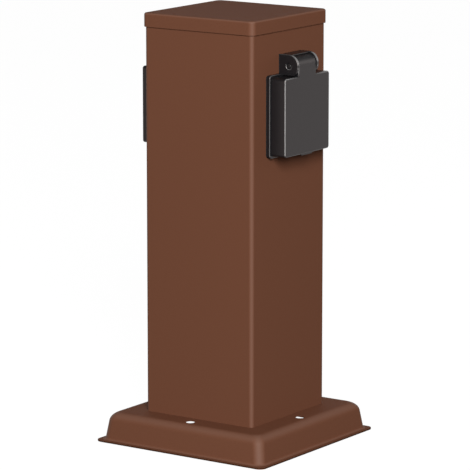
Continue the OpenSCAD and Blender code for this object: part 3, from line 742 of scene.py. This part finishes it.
@dataclass(frozen=True)
class Cap:
    """Pressed lid of the column."""

    sheet: float = 1.3 * MM
    corner: float = 5.0 * MM
    corner_steps: int = 10
    edge: float = 1.8 * MM
    edge_steps: int = 10
    crest: float = 0.27
    lip: float = 0.3 * MM
    lip_steps: int = 2

    def build(self) -> None:
        """Models the cap and dresses it."""
        low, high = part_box("top_cap")
        cap = Workpiece.block("coated_cap", low, high)
        cap.round_edges(self.corner, self.corner_steps, lambda edge: runs_along(edge, Axis.Z))
        cap.round_edges(self.edge, self.edge_steps, lambda edge: lies_at(edge, Axis.Z, high.z))
        cap.drop_faces(lambda face: face.normal.z < -PARALLEL)
        # The rounded corners and top edges get a painted highlight and more gloss from the finish
        cap.mark(self.crest, leans)
        cap.thicken(self.sheet)
        cap.round_edges(
            self.lip, self.lip_steps, lambda edge: on_outline(edge, high.x, self.corner, low.z),
        )
        cap.clean()
        cap.dress("post", "top_cap", COAT)


@dataclass(frozen=True)
class Plinth:
    """Pressed pan under the column: a flat rim, a leaning wall and a rounded shoulder."""

    sheet: float = 1.5 * MM
    rim_corner: float = 6.0 * MM
    rim_w: float = 4.2 * MM
    rim_edge: float = 0.2 * MM
    rim_foot: float = 0.3 * MM
    rim_steps: int = 3
    lean: float = math.radians(8.5)
    foot_fillet: float = 2.6 * MM
    shoulder_r: float = 8.5 * MM
    wall_corner: float = 8.0 * MM
    corner_steps: int = 10
    fillet_steps: int = 6
    shoulder_steps: int = 12
    corner_crest: float = 0.27
    shoulder_crest: float = 0.16
    fillet_crest: float = 0.2
    anchor_r: float = 3.75 * MM
    anchor_reach: float = 67.0 * MM
    anchor_lip: float = 0.3 * MM
    anchor_thin_r: float = 9.0 * MM
    bolt_r: float = 2.7 * MM
    bolt_at: float = 42.8 * MM
    cable_r: float = 12.0 * MM

    def rings(self, half: float, top: float) -> list[tuple[float, float, float]]:
        """Works out the skin's rings from the rim to the flat of the top.

        Args:
            half: Half of the rim's width.
            top: Height of the top.

        Returns:
            Half width, corner radius and height of each ring.
        """
        turn = math.pi / 2 - self.lean
        foot = half - self.rim_w
        shoulder = foot - (top - self.sheet) * math.tan(self.lean)
        fillet_x = foot + self.foot_fillet * math.tan(turn / 2)
        shoulder_x = shoulder - self.shoulder_r * math.tan(turn / 2)
        rings = [(half, self.rim_corner, self.sheet)]
        for step in range(self.fillet_steps + 1):
            angle = turn * step / self.fillet_steps
            rings.append((
                fillet_x - self.foot_fillet * math.sin(angle), self.wall_corner,
                self.sheet + self.foot_fillet * (1 - math.cos(angle)),
            ))
        for step in range(self.shoulder_steps + 1):
            angle = turn * (1 - step / self.shoulder_steps)
            rings.append((
                shoulder_x + self.shoulder_r * math.sin(angle), self.wall_corner,
                top - self.shoulder_r * (1 - math.cos(angle)),
            ))
        return rings

    def ring(self, half: float, corner: float, height: float) -> Workpiece:
        """Makes one square ring of edges with rounded corners.

        Args:
            half: Half of its width.
            corner: Radius of its corners.
            height: Its height.

        Returns:
            The ring.
        """
        bpy.ops.object.select_all(action="DESELECT")
        bpy.ops.mesh.primitive_plane_add(size=2 * half, location=(0.0, 0.0, height))
        ring = Workpiece("plinth_ring")
        with ring.editing("VERT"):
            bpy.ops.mesh.select_all(action="SELECT")
            bpy.ops.mesh.bevel(
                offset=corner, offset_type="OFFSET", segments=self.corner_steps, affect="VERTICES",
            )
            bpy.ops.mesh.select_all(action="SELECT")
            bpy.ops.mesh.delete(type="ONLY_FACE")
        return ring

    def skin(self, rings: list[tuple[float, float, float]]) -> Workpiece:
        """Makes the open skin through the rings.

        Args:
            rings: Half width, corner radius and height of each ring.

        Returns:
            The skin, closed at its top.
        """
        loops = [self.ring(*ring) for ring in rings]
        skin = loops[0]
        skin.focus()
        for loop in loops[1:]:
            loop.object.select_set(True)
        bpy.ops.object.join()
        with skin.editing("EDGE"):
            for first in range(len(rings) - 1):
                self.pick_levels(skin, rings[first:first + 2])
                bpy.ops.mesh.bridge_edge_loops()
            self.pick_levels(skin, rings[-1:])
            bpy.ops.mesh.edge_face_add()
            bpy.ops.mesh.select_all(action="SELECT")
            bpy.ops.mesh.normals_make_consistent(inside=False)
        return skin

    @staticmethod
    def pick_levels(skin: Workpiece, levels: list[tuple[float, float, float]]) -> None:
        """Selects the edges of some rings and nothing else.

        Args:
            skin: The skin in edit mode.
            levels: Half width, corner radius and height of each ring.
        """
        bpy.ops.mesh.select_all(action="DESELECT")
        mesh = bmesh.from_edit_mesh(skin.object.data)
        skin.pick(mesh, mesh.edges, lambda edge: any(on_outline(edge, *level) for level in levels))

    def build(self) -> None:
        """Models the plinth and dresses it."""
        low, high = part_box("base_plinth")
        plinth = self.skin(self.rings(high.x, high.z))
        plinth.object.name = "coated_plinth"
        self.mark_bends(plinth, high.z / 2)
        plinth.thicken(self.sheet)
        for radius, level in ((self.rim_edge, self.sheet), (self.rim_foot, low.z)):
            plinth.round_edges(
                radius, self.rim_steps, lambda edge: on_outline(edge, high.x, self.rim_corner, level),
            )
        # The finish paints a dark shade along the rim's foot
        plinth.mark_foot_shade(self.sheet - self.rim_edge)
        self.cut_holes(plinth, high.z)
        plinth.clean()
        plinth.dress("post", "base_plinth", COAT)

    def mark_bends(self, plinth: Workpiece, middle: float) -> None:
        """Marks the upright corners, the shoulder and the fillet at the wall's foot for the finish's painted
        highlight and gloss.

        Args:
            plinth: The skin.
            middle: Height between the fillet and the shoulder.
        """
        plinth.mark(
            self.corner_crest,
            lambda face: min(abs(face.normal.x), abs(face.normal.y)) > 1 - PARALLEL,
        )
        for crest, upper in ((self.shoulder_crest, True), (self.fillet_crest, False)):
            plinth.mark(crest, lambda face: (
                math.sin(2 * self.lean) < face.normal.z < PARALLEL
                and (face.calc_center_median().z > middle) is upper
            ))

    def cut_holes(self, plinth: Workpiece, top: float) -> None:
        """Cuts the anchor holes with their thinned lips, the cable hole and the bolt holes.

        Args:
            plinth: The pan.
            top: Height of the top.
        """
        for x, y in ((1, 0), (0, 1), (-1, 0), (0, -1)):
            centre = Vector((x * self.anchor_reach, y * self.anchor_reach, top / 2))
            plinth.take_away(Workpiece.rod("anchor_hole", Axis.Z, centre, top, self.anchor_r))
            centre.z = top - self.sheet
            depth = self.sheet - self.anchor_lip
            plinth.take_away(Workpiece.rod(
                "thinned_lip", Axis.Z, centre, depth, self.anchor_thin_r, self.anchor_r,
            ))
        at = self.bolt_at
        holes = [(x, y, self.bolt_r) for x in (-at, at) for y in (-at, at)]
        for x, y, radius in [(0.0, 0.0, self.cable_r), *holes]:
            plinth.take_away(Workpiece.rod("hole", Axis.Z, Vector((x, y, top / 2)), top, radius))


def socket_origin() -> Vector:
    """Finds the right-hand socket's centre on the column's face, from the screws round it."""
    low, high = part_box("right_frame_screws")
    return Vector((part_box("column")[1].x, 0.0, (low.z + high.z) / 2))


@dataclass(frozen=True)
class SocketPart:
    """A piece of the right-hand socket, measured from the socket's centre on the column's face."""

    origin: Vector

    def at(self, x: float, y: float = 0.0, z: float = 0.0) -> Vector:
        """Finds a point from how far it is out from the centre, along the face and up."""
        return self.origin + Vector((x, y, z))


@dataclass(frozen=True)
class Hinge(SocketPart):
    """Where a lid's hinge pin lies, and the pin."""

    reach: float = 10.2 * MM
    rise: float = 41.5 * MM
    pin_r: float = 1.5 * MM
    pin_length: float = 31.0 * MM
    pin_edge: float = 0.4 * MM
    bore_r: float = 1.55 * MM
    steps: int = 3

    def across(self, name: str, radius: float, low: float, high: float) -> Workpiece:
        """Makes a rod about the pin's axis, from a low to a high place along it."""
        return Workpiece.rod(name, Axis.Y, self.at(self.reach, low, self.rise), high - low, radius)

    def build(self) -> None:
        """Models the pin with rounded ends, and dresses both pins."""
        half = self.pin_length / 2
        pin = self.across("pin", self.pin_r, -half, half)
        pin.round_edges(
            self.pin_edge, self.steps,
            lambda edge: lies_at(edge, Axis.Y, -half) or lies_at(edge, Axis.Y, half),
        )
        pin.dress_both("pin", "hinge_pin", OXIDE)


@dataclass(frozen=True)
class SocketFrame(SocketPart):
    """Moulded flange on the column, with a collar round the dish and a hood over the hinge."""

    hinge: Hinge
    back: float = 1.0 * MM
    front: float = 4.0 * MM
    half: float = 35.0 * MM
    corner: float = 3.0 * MM
    corner_steps: int = 8
    edge: float = 0.6 * MM
    edge_steps: int = 3
    edge_crest: float = 0.35
    collar_reach: float = 11.5 * MM
    collar_in: float = 23.2 * MM
    collar_out: float = 25.45 * MM
    recess_r: float = 27.2 * MM
    recess_t: float = 1.5 * MM
    screw_at: float = 28.0 * MM
    screw_hole_r: float = 1.95 * MM
    screw_hole_sides: int = 32
    screw_head_r: float = 3.6 * MM
    screw_head_t: float = 1.55 * MM
    hood_half: float = 16.0 * MM
    hood_back: float = 1.025 * MM
    hood_front: float = 19.2 * MM
    hood_low: float = 33.4 * MM
    nose_r: float = 9.65 * MM
    nose_flat: float = 0.05 * MM
    nose_steps: int = 24
    cheek_edge: float = 0.5 * MM
    cheek_inner_edge: float = 0.4 * MM
    cheek_crest: float = 0.7
    room_half: float = 13.4 * MM
    pocket_r: float = 8.6 * MM
    bridge_inset: float = 0.05 * MM
    bridge_front: float = 11.6 * MM
    bridge_edge: float = 0.2 * MM
    bridge_crest: float = 1.0
    slot_top: float = 37.65 * MM
    pin_recess: float = 1.0 * MM
    pin_recess_r: float = 2.8 * MM
    pin_recess_edge: float = 0.35 * MM
    pin_recess_crest: float = 1.0
    over: float = 0.1 * MM

    def build(self) -> None:
        """Models the frame and dresses both frames."""
        piece = Workpiece.block(
            "frame", self.at(self.back, -self.half, -self.half), self.at(self.front, self.half, self.half),
        )
        piece.round_edges(self.corner, self.corner_steps, lambda edge: runs_along(edge, Axis.X))
        face = self.origin.x + self.front
        # The front edges get a painted highlight and more gloss from the finish
        piece.round_edges(
            self.edge, self.edge_steps, lambda edge: lies_at(edge, Axis.X, face), self.edge_crest,
        )
        middle = self.at((self.back + self.front) / 2)
        rim = self.origin.x + self.collar_reach
        collar = Workpiece.rod("collar", Axis.X, middle, rim - middle.x, self.collar_out)
        collar.round_edges(self.edge, self.edge_steps, lambda edge: lies_at(edge, Axis.X, rim))
        piece.join(collar)
        piece.join(self.hood())
        behind = self.at(self.back - self.over)
        reach = self.collar_reach - self.back + 2 * self.over
        piece.take_away(Workpiece.rod("bore", Axis.X, behind, reach, self.collar_in))
        piece.take_away(Workpiece.rod("recess", Axis.X, behind, self.recess_t + self.over, self.recess_r))
        for y in (-self.screw_at, self.screw_at):
            for z in (-self.screw_at, self.screw_at):
                self.cut_screw_hole(piece, y, z)
        piece.dress_both("frame_moulding", "frame", BLACK)

    def cut_screw_hole(self, piece: Workpiece, y: float, z: float) -> None:
        """Cuts one countersunk screw hole.

        Args:
            piece: The frame.
            y: Place of the screw's axis along the face.
            z: Height of the screw's axis.
        """
        slope = (self.screw_head_r - self.screw_hole_r) / self.screw_head_t * self.over
        sink = self.front - self.screw_head_t - self.over
        depth = self.screw_head_t + 2 * self.over
        narrow, wide = self.screw_hole_r - slope, self.screw_head_r + slope
        for name, x, length, radius, tip in (
            ("screw_hole", 0.0, 2 * self.front, self.screw_hole_r, self.screw_hole_r),
            ("countersink", sink, depth, narrow, wide),
        ):
            piece.take_away(Workpiece.rod(
                name, Axis.X, self.at(x, y, z), length, radius, tip, self.screw_hole_sides,
            ))

    def round_nosed(self, name: str, low: float, high: float, inset: float) -> Workpiece:
        """Makes a round-nosed slice of the hood.

        Args:
            name: Name of the slice.
            low: Where it begins along the pin.
            high: Where it ends.
            inset: How far it is set in from the hood's outline.

        Returns:
            The slice.
        """
        nose_r, nose_x = self.nose_r - inset, self.hood_front - inset
        piece = Workpiece.block(
            name, self.at(self.hood_back + inset, low, self.hinge.rise - nose_r),
            self.at(nose_x, high, self.hinge.rise + nose_r),
        )
        nose = self.origin.x + nose_x
        piece.round_edges(
            nose_r - self.nose_flat, self.nose_steps,
            lambda edge: runs_along(edge, Axis.Y) and lies_at(edge, Axis.X, nose),
        )
        piece.cut_off(self.at(0.0, 0.0, self.hood_low + inset), -Axis.Z.value)
        return piece

    def hood(self) -> Workpiece:
        """Models the hood: two round-nosed cheeks, joined by a back and a thin top.

        Returns:
            The hood.
        """
        hood = self.bridge()
        for side in (-1, 1):
            hood.join(self.cheek(side))
        return hood

    def bridge(self) -> Workpiece:
        """Makes the back and the top of the hood, round the room for the knuckle.

        Returns:
            The bridge, a little longer than the room is wide.
        """
        wide = self.room_half + self.pin_recess / 2
        bridge = self.round_nosed("bridge", -wide, wide, self.bridge_inset)
        foot, beyond = self.hood_low - self.over, self.hood_front + self.over
        bridge.take_away(self.hinge.across("pocket", self.pocket_r, -2 * wide, 2 * wide))
        above = self.hinge.rise + 2 * self.nose_r
        for near, ceiling in ((self.bridge_front, above), (self.front, self.slot_top)):
            bridge.take_away(Workpiece.block(
                "room", self.at(near, -2 * wide, foot), self.at(beyond, 2 * wide, ceiling),
            ))
        lead = self.origin.x + self.bridge_front
        # The bridge's front edge gets a painted highlight and more gloss from the finish
        bridge.round_edges(
            self.bridge_edge, self.edge_steps,
            lambda edge: runs_along(edge, Axis.Y) and lies_at(edge, Axis.X, lead), self.bridge_crest,
        )
        return bridge

    def cheek(self, side: int) -> Workpiece:
        """Makes one cheek with soft edges, the pin's bore and a recess with a soft rim at the pin's end.

        Args:
            side: -1 or 1, the side of the hood.

        Returns:
            The cheek.
        """
        inside, outside = side * self.room_half, side * self.hood_half
        cheek = self.round_nosed("cheek", *sorted((inside, outside)), 0.0)
        back, free = self.origin.x + self.hinge.pin_r, self.origin.x + self.bridge_front
        foot = self.origin.z + self.hood_low
        cheek.round_edges(self.cheek_edge, self.edge_steps, lambda edge: (
            lies_at(edge, Axis.Y, outside)
            and any(vert.co.x > back for vert in edge.verts) and not lies_at(edge, Axis.Z, foot)
        ))
        cheek.round_edges(self.cheek_inner_edge, self.edge_steps, lambda edge: (
            lies_at(edge, Axis.Y, inside)
            and all(vert.co.x > free for vert in edge.verts) and not lies_at(edge, Axis.Z, foot)
        ))
        # The cheeks' rounded edges get a painted highlight and more gloss from the finish
        cheek.mark(self.cheek_crest, leans)
        ends = sorted((outside - side * self.pin_recess, 2 * outside))
        cheek.take_away(self.hinge.across("recess", self.pin_recess_r, *ends))
        cheek.take_away(self.hinge.across("bore", self.hinge.bore_r, *sorted((0.0, 2 * outside))))
        axis = self.at(self.hinge.reach, 0.0, self.hinge.rise)
        # The recess rim gets a painted highlight and more gloss from the finish
        cheek.round_edges(self.pin_recess_edge, self.edge_steps, lambda edge: (
            lies_at(edge, Axis.Y, outside) and on_circle(edge, Axis.Y, axis, self.pin_recess_r)
        ), self.pin_recess_crest)
        return cheek


@dataclass(frozen=True)
class SocketLid(SocketPart):
    """Moulded splash lid: a hollow shell with a knuckle above and a finger lip below."""

    hinge: Hinge
    back: float = 4.3 * MM
    front: float = 18.4 * MM
    half_w: float = 33.4 * MM
    half_h: float = 33.0 * MM
    wall: float = 2.2 * MM
    corner: float = 2.5 * MM
    hollow_corner: float = 1.0 * MM
    corner_steps: int = 8
    edge: float = 1.0 * MM
    edge_steps: int = 6
    edge_crest: float = 1.0
    knuckle_half: float = 13.1 * MM
    knuckle_r: float = 8.2 * MM
    knuckle_end: float = math.radians(100.0)
    knuckle_edge: float = 1.2 * MM
    hub_r: float = 4.2 * MM
    tab_front: float = 18.395 * MM
    tab_top: float = 41.1 * MM
    fillet: float = 1.5 * MM
    fillet_w: float = 2.4 * MM
    spring_room_r: float = 6.0 * MM
    spring_room_half: float = 5.2 * MM
    relief_r: float = 9.7 * MM
    relief_w: float = 3.2 * MM
    lip_half: float = 8.8 * MM
    lip_back: float = 14.9 * MM
    lip_front: float = 17.9 * MM
    lip_drop: float = 1.2 * MM
    lip_slope: float = 1.5 * MM
    lip_edge: float = 0.25 * MM
    lip_steps: int = 2
    over: float = 0.1 * MM

    def build(self) -> None:
        """Models the lid and dresses both lids."""
        lid = self.slab(self.back, self.front, 0.0, self.corner)
        face = self.origin.x + self.front
        # The front edges get a painted highlight and more gloss from the finish
        lid.round_edges(
            self.edge, self.edge_steps, lambda edge: lies_at(edge, Axis.X, face), self.edge_crest,
        )
        floor = self.front - self.wall
        lid.take_away(self.slab(self.back - self.over, floor, self.wall, self.hollow_corner))
        wide = self.knuckle_half
        for side in (-1, 1):
            ends = sorted((side * (wide - self.over), side * (wide + self.relief_w)))
            lid.take_away(self.hinge.across("relief", self.relief_r, *ends))
        lid.join(self.tab())
        lid.join(self.nose())
        lid.join(self.hinge.across("hub", self.hub_r, self.over - wide, wide - self.over))
        for side in (-1, 1):
            lid.join(self.tab_fillet(side))
        lid.join(self.lip())
        room = self.spring_room_half
        lid.take_away(self.hinge.across("spring_room", self.spring_room_r, -room, room))
        lid.take_away(self.hinge.across("bore", self.hinge.bore_r, -2 * wide, 2 * wide))
        lid.dress_both("lid_moulding", "lid", BLACK, moves=True)

    def slab(self, near: float, far: float, inset: float, corner: float) -> Workpiece:
        """Makes a slab with rounded corners in the lid's outline.

        Args:
            near: Where it begins off the face.
            far: Where it ends.
            inset: How far it is set in from the lid's outline.
            corner: Radius of its corners.

        Returns:
            The slab.
        """
        y, z = self.half_w - inset, self.half_h - inset
        slab = Workpiece.block("slab", self.at(near, -y, -z), self.at(far, y, z))
        slab.round_edges(corner, self.corner_steps, lambda edge: runs_along(edge, Axis.X))
        return slab

    def tab(self) -> Workpiece:
        """Makes the tab from the shell up to the knuckle, with soft front corners.

        Returns:
            The tab.
        """
        wide, low = self.knuckle_half, self.half_h - self.wall / 2
        tab = Workpiece.block(
            "tab", self.at(self.hinge.reach, -wide, low), self.at(self.tab_front, wide, self.tab_top),
        )
        face = self.origin.x + self.tab_front
        # The tab's front corners get a painted highlight and more gloss from the finish
        tab.round_edges(
            self.knuckle_edge, self.edge_steps,
            lambda edge: runs_along(edge, Axis.Z) and lies_at(edge, Axis.X, face), self.edge_crest,
        )
        return tab

    def nose(self) -> Workpiece:
        """Makes the round nose of the knuckle, with soft rims, up to its end behind the pin.

        Returns:
            The nose.
        """
        wide = self.knuckle_half
        nose = self.hinge.across("nose", self.knuckle_r, -wide, wide)
        # The knuckle's rims get a painted highlight and more gloss from the finish
        nose.round_edges(
            self.knuckle_edge, self.edge_steps,
            lambda edge: lies_at(edge, Axis.Y, -wide) or lies_at(edge, Axis.Y, wide), self.edge_crest,
        )
        beyond = self.knuckle_end + math.pi / 2
        axis = self.at(self.hinge.reach, 0.0, self.hinge.rise)
        nose.cut_off(axis, Vector((math.cos(beyond), 0.0, math.sin(beyond))))
        return nose

    def tab_fillet(self, side: int) -> Workpiece:
        """Makes the small fillet between the tab and the shell's top.

        Args:
            side: -1 or 1, the side of the tab.

        Returns:
            The fillet.
        """
        wide = self.knuckle_half
        near, far = sorted((side * (wide - self.over), side * (wide + self.fillet)))
        front = self.front - self.knuckle_edge
        fillet = Workpiece.block(
            "fillet", self.at(front - self.fillet_w, near, self.half_h - self.over),
            self.at(front, far, self.half_h + self.fillet),
        )
        reach = self.fillet - self.over / 2
        start = self.at(0.0, side * (wide + reach), self.half_h + reach)
        fillet.take_away(Workpiece.rod("round", Axis.X, start, 2 * self.front, self.fillet))
        return fillet

    def lip(self) -> Workpiece:
        """Makes the finger lip under the shell, drawn in towards its lower edge.

        Returns:
            The lip.
        """
        half, foot = self.lip_half, -self.half_h
        lip = Workpiece.block(
            "lip", self.at(self.lip_back, -half, foot), self.at(self.lip_front, half, self.wall / 2 + foot),
        )
        with lip.editing("FACE") as mesh:
            lip.pick(mesh, mesh.faces, lambda face: face.normal.z < -PARALLEL)
            bpy.ops.mesh.extrude_region_move(TRANSFORM_OT_translate={"value": (0.0, 0.0, -self.lip_drop)})
            bpy.ops.transform.resize(
                value=(1.0, 1.0 - self.lip_slope / half, 1.0), center_override=self.origin,
            )
        low = self.origin.z + foot - self.lip_drop
        lip.round_edges(self.lip_edge, self.lip_steps, lambda edge: lies_at(edge, Axis.Z, low))
        return lip


@dataclass(frozen=True)
class SocketInsert(SocketPart):
    """Moulded dish that takes the plug, with a flange behind the frame."""

    radius: float = 23.0 * MM
    front: float = 11.0 * MM
    back: float = -9.0 * MM
    wall: float = 3.5 * MM
    depth: float = 17.5 * MM
    rim: float = 0.6 * MM
    rim_steps: int = 3
    flange_r: float = 27.0 * MM
    flange_back: float = 1.0 * MM
    flange_t: float = 1.5 * MM
    pin_hole_r: float = 2.75 * MM
    pin_hole_sides: int = 40
    pin_at: float = 9.5 * MM
    slot_half_w: float = 2.7 * MM
    slot_half_h: float = 0.9 * MM
    slot_at: float = 18.4 * MM

    def build(self) -> None:
        """Models the insert and dresses both inserts."""
        length = self.front - self.back
        insert = Workpiece.rod("insert", Axis.X, self.at(self.back), length, self.radius)
        with insert.editing("FACE") as mesh:
            insert.pick(mesh, mesh.faces, lambda face: face.normal.x > PARALLEL)
            bpy.ops.mesh.inset(thickness=self.wall, depth=0.0)
            bpy.ops.mesh.extrude_region_move(TRANSFORM_OT_translate={"value": (-self.depth, 0.0, 0.0)})
        rim = self.origin.x + self.front
        insert.round_edges(self.rim, self.rim_steps, lambda edge: (
            lies_at(edge, Axis.X, rim) and not all(face.normal.x > PARALLEL for face in edge.link_faces)
        ))
        ring = Workpiece.rod("flange", Axis.X, self.at(self.flange_back), self.flange_t, self.flange_r)
        bore, through = self.at(self.flange_back - self.wall), 3 * self.wall
        ring.take_away(Workpiece.rod("bore", Axis.X, bore, through, self.radius - self.wall / 2))
        insert.join(ring)
        for side in (-1, 1):
            hole = self.at(self.back - self.wall, side * self.pin_at)
            insert.take_away(Workpiece.rod(
                "pin_hole", Axis.X, hole, through, self.pin_hole_r, sides=self.pin_hole_sides,
            ))
            slot = self.at(self.back, 0.0, side * self.slot_at)
            reach = Vector((self.wall, self.slot_half_w, self.slot_half_h))
            insert.take_away(Workpiece.block("strap_slot", slot - reach, slot + reach))
        insert.dress_both("dish_moulding", "insert", GREY)


@dataclass(frozen=True)
class LidSeal(SocketPart):
    """Rubber ring in the lid that closes on the collar."""

    inner: float = 21.5 * MM
    outer: float = 26.45 * MM
    back: float = 11.8 * MM
    front: float = 16.2 * MM
    edge: float = 0.5 * MM
    steps: int = 3

    def build(self) -> None:
        """Models the ring and dresses both rings."""
        start, length = self.at(self.back), self.front - self.back
        ring = Workpiece.rod("ring", Axis.X, start, length, self.outer)
        bore = self.at(self.back - length)
        ring.take_away(Workpiece.rod("bore", Axis.X, bore, 3 * length, self.inner))
        ring.round_edges(self.edge, self.steps, lambda edge: lies_at(edge, Axis.X, start.x))
        ring.dress_both("seal_ring", "lid_seal", RUBBER, moves=True)


@dataclass(frozen=True)
class InnerPieces:
    """The CAD nodes that show as they are."""

    def dress(self) -> None:
        """Gives each node the finish of its record slot."""
        for row in frame["record"]["subparts"]:
            node = frame["nodes"][row["node"]]
            material = FINISHES[row["material_slot"]].material()
            for place in node.material_slots:
                place.material = material
            log.info("%s: %s", row["node"], material.name)


def direction(azimuth: float, elevation: float) -> Vector:
    """Works out the direction from the post to a viewer or a lamp.

    Args:
        azimuth: Angle round the post in degrees, 0 in front of the -Y face and 90 in front of the +X face.
        elevation: Angle above the horizon in degrees.

    Returns:
        The direction, of length 1.
    """
    turn = math.radians(azimuth)
    rise = math.radians(elevation)
    return Vector((math.sin(turn) * math.cos(rise), -math.cos(turn) * math.cos(rise), math.sin(rise)))


def stand_facing(
    data: bpy.types.Light | bpy.types.Camera, aim: Vector, towards: Vector, distance: float,
) -> bpy.types.Object:
    """Adds a lamp or a camera that faces a point.

    Args:
        data: The lamp or camera.
        aim: Point that it faces.
        towards: Direction from that point to it.
        distance: How far from the point it stands.

    Returns:
        Its object.
    """
    stand = bpy.data.objects.new(data.name, data)
    bpy.context.scene.collection.objects.link(stand)
    stand.location = aim + distance * towards
    stand.rotation_euler = (-towards).to_track_quat("-Z", "Y").to_euler()
    return stand


@dataclass(frozen=True)
class Lamp:
    """A soft box that faces the post, placed in degrees and metres."""

    name: str
    azimuth: float
    elevation: float
    distance: float
    width: float
    height: float
    watts: float

    def build(self, aim: Vector) -> None:
        """Adds the lamp.

        Args:
            aim: Point that the lamp faces.
        """
        data = bpy.data.lights.new(self.name, "AREA")
        data.shape = "RECTANGLE"
        data.size = self.width
        data.size_y = self.height
        data.energy = self.watts
        stand_facing(data, aim, direction(self.azimuth, self.elevation), self.distance)


KEY_LAMP = Lamp(
    "key_soft_box", azimuth=39.0, elevation=23.0, distance=3.2, width=1.0, height=1.3, watts=120.0,
)
RIM_LAMP = Lamp(
    "rim_soft_box", azimuth=148.0, elevation=17.0, distance=3.2, width=1.0, height=1.2, watts=4.0,
)


@dataclass(frozen=True)
class Studio:
    """White floor and backdrop, soft boxes and the camera."""

    floor_size: float = 30.0
    floor_glow: float = 0.968
    floor_grey: str = "#545454"
    backdrop: float = 1.0
    sky: float = 0.15
    fill: float = 1.6
    fill_azimuth: float = 225.0
    ceiling: float = 0.04
    ceiling_start: float = 0.3
    ceiling_full: float = 0.6
    aim_height: float = 175.921 * MM
    camera_azimuth: float = 34.676
    camera_elevation: float = 10.806
    camera_distance: float = 2822.482 * MM
    camera_shift_right: float = -0.278 * MM
    picture_pixels: float = 470.0
    focal_pixels: float = 3298.89
    film_mm: float = 36.0

    def build(self) -> None:
        """Builds the floor, the sky, the lamps and the camera."""
        self.build_floor()
        self.build_sky()
        aim = Vector((0.0, 0.0, self.aim_height))
        for lamp in (KEY_LAMP, RIM_LAMP):
            lamp.build(aim)
        self.build_camera(aim)
        bpy.context.scene.view_settings.view_transform = "Standard"

    def white_for_camera(self, tree: bpy.types.NodeTree) -> bpy.types.NodeSocket:
        """Adds a value that is 1 for what the camera, a mirror or clear glass sees.

        Args:
            tree: Node tree of the floor or the sky.

        Returns:
            The value's socket.
        """
        path = add_node(tree, "ShaderNodeLightPath")
        seen = path.outputs["Is Camera Ray"]
        for ray in ("Is Glossy Ray", "Is Transmission Ray"):
            either = {0: seen, 1: path.outputs[ray]}
            seen = add_node(tree, "ShaderNodeMath", {"operation": "MAXIMUM"}, either).outputs["Value"]
        return seen

    def build_floor(self) -> None:
        """Builds a pale floor that reads white and keeps the post's shadow."""
        bpy.ops.object.select_all(action="DESELECT")
        bpy.ops.mesh.primitive_plane_add(size=self.floor_size)
        floor = bpy.context.object
        floor.name = "studio_floor"
        material = bpy.data.materials.new("pale_studio_floor")
        tree = empty_tree(material)
        strength = add_node(
            tree, "ShaderNodeMath", {"operation": "MULTIPLY"},
            {0: self.white_for_camera(tree), 1: self.floor_glow},
        )
        glow = add_node(tree, "ShaderNodeEmission", None, {"Strength": strength.outputs["Value"]})
        matt = add_node(tree, "ShaderNodeBsdfDiffuse", None, {"Color": linear(self.floor_grey)})
        both = add_node(
            tree, "ShaderNodeAddShader", None, {0: glow.outputs["Emission"], 1: matt.outputs["BSDF"]},
        )
        add_node(tree, "ShaderNodeOutputMaterial", None, {"Surface": both.outputs["Shader"]})
        floor.data.materials.append(material)

    def build_sky(self) -> None:
        """Builds a backdrop that reads white under a dark ceiling, and that lights the far sides."""
        world = bpy.data.worlds.new("studio_sky")
        bpy.context.scene.world = world
        tree = empty_tree(world)
        place = add_node(tree, "ShaderNodeTexCoord").outputs["Generated"]
        parts = add_node(tree, "ShaderNodeSeparateXYZ", None, {"Vector": place})
        behind = add_node(
            tree, "ShaderNodeVectorMath", {"operation": "DOT_PRODUCT"},
            {0: place, 1: direction(self.fill_azimuth, 0.0)},
        )
        light = add_node(
            tree, "ShaderNodeMapRange", None,
            {"Value": behind.outputs["Value"], "To Min": self.sky, "To Max": self.fill},
        )
        low = add_node(
            tree, "ShaderNodeMix", {"data_type": "FLOAT"},
            {"Factor": self.white_for_camera(tree), "A": light.outputs["Result"], "B": self.backdrop},
        )
        strength = add_node(
            tree, "ShaderNodeMapRange", {"interpolation_type": "SMOOTHSTEP"},
            {
                "Value": parts.outputs["Z"], "From Min": self.ceiling_start, "From Max": self.ceiling_full,
                "To Min": low.outputs["Result"], "To Max": self.ceiling,
            },
        )
        sky = add_node(
            tree, "ShaderNodeBackground", None,
            {"Color": linear("#FFFFFF"), "Strength": strength.outputs["Result"]},
        )
        add_node(tree, "ShaderNodeOutputWorld", None, {"Surface": sky.outputs["Background"]})

    def build_camera(self, aim: Vector) -> None:
        """Builds the camera at the photograph's viewing angle.

        Args:
            aim: Point near the middle of the picture.
        """
        turn = math.radians(self.camera_azimuth)
        right = Vector((math.cos(turn), math.sin(turn), 0.0))
        data = bpy.data.cameras.new("photo_camera")
        data.sensor_width = self.film_mm
        data.lens = self.film_mm * self.focal_pixels / self.picture_pixels
        back = direction(self.camera_azimuth, self.camera_elevation)
        middle = aim + self.camera_shift_right * right
        bpy.context.scene.camera = stand_facing(data, middle, back, self.camera_distance)


def main() -> None:
    """Builds the studio, models and dresses the post, and reports each piece."""
    logging.basicConfig(level=logging.INFO, format="%(message)s")
    Studio().build()
    InnerPieces().dress()
    origin = socket_origin()
    hinge = Hinge(origin)
    Column().build(origin.z)
    Cap().build()
    Plinth().build()
    frame_and_lid = (SocketFrame(origin, hinge), SocketLid(origin, hinge))
    for piece in (*frame_and_lid, hinge, SocketInsert(origin), LidSeal(origin)):
        piece.build()


if __name__ == "__main__":
    main()
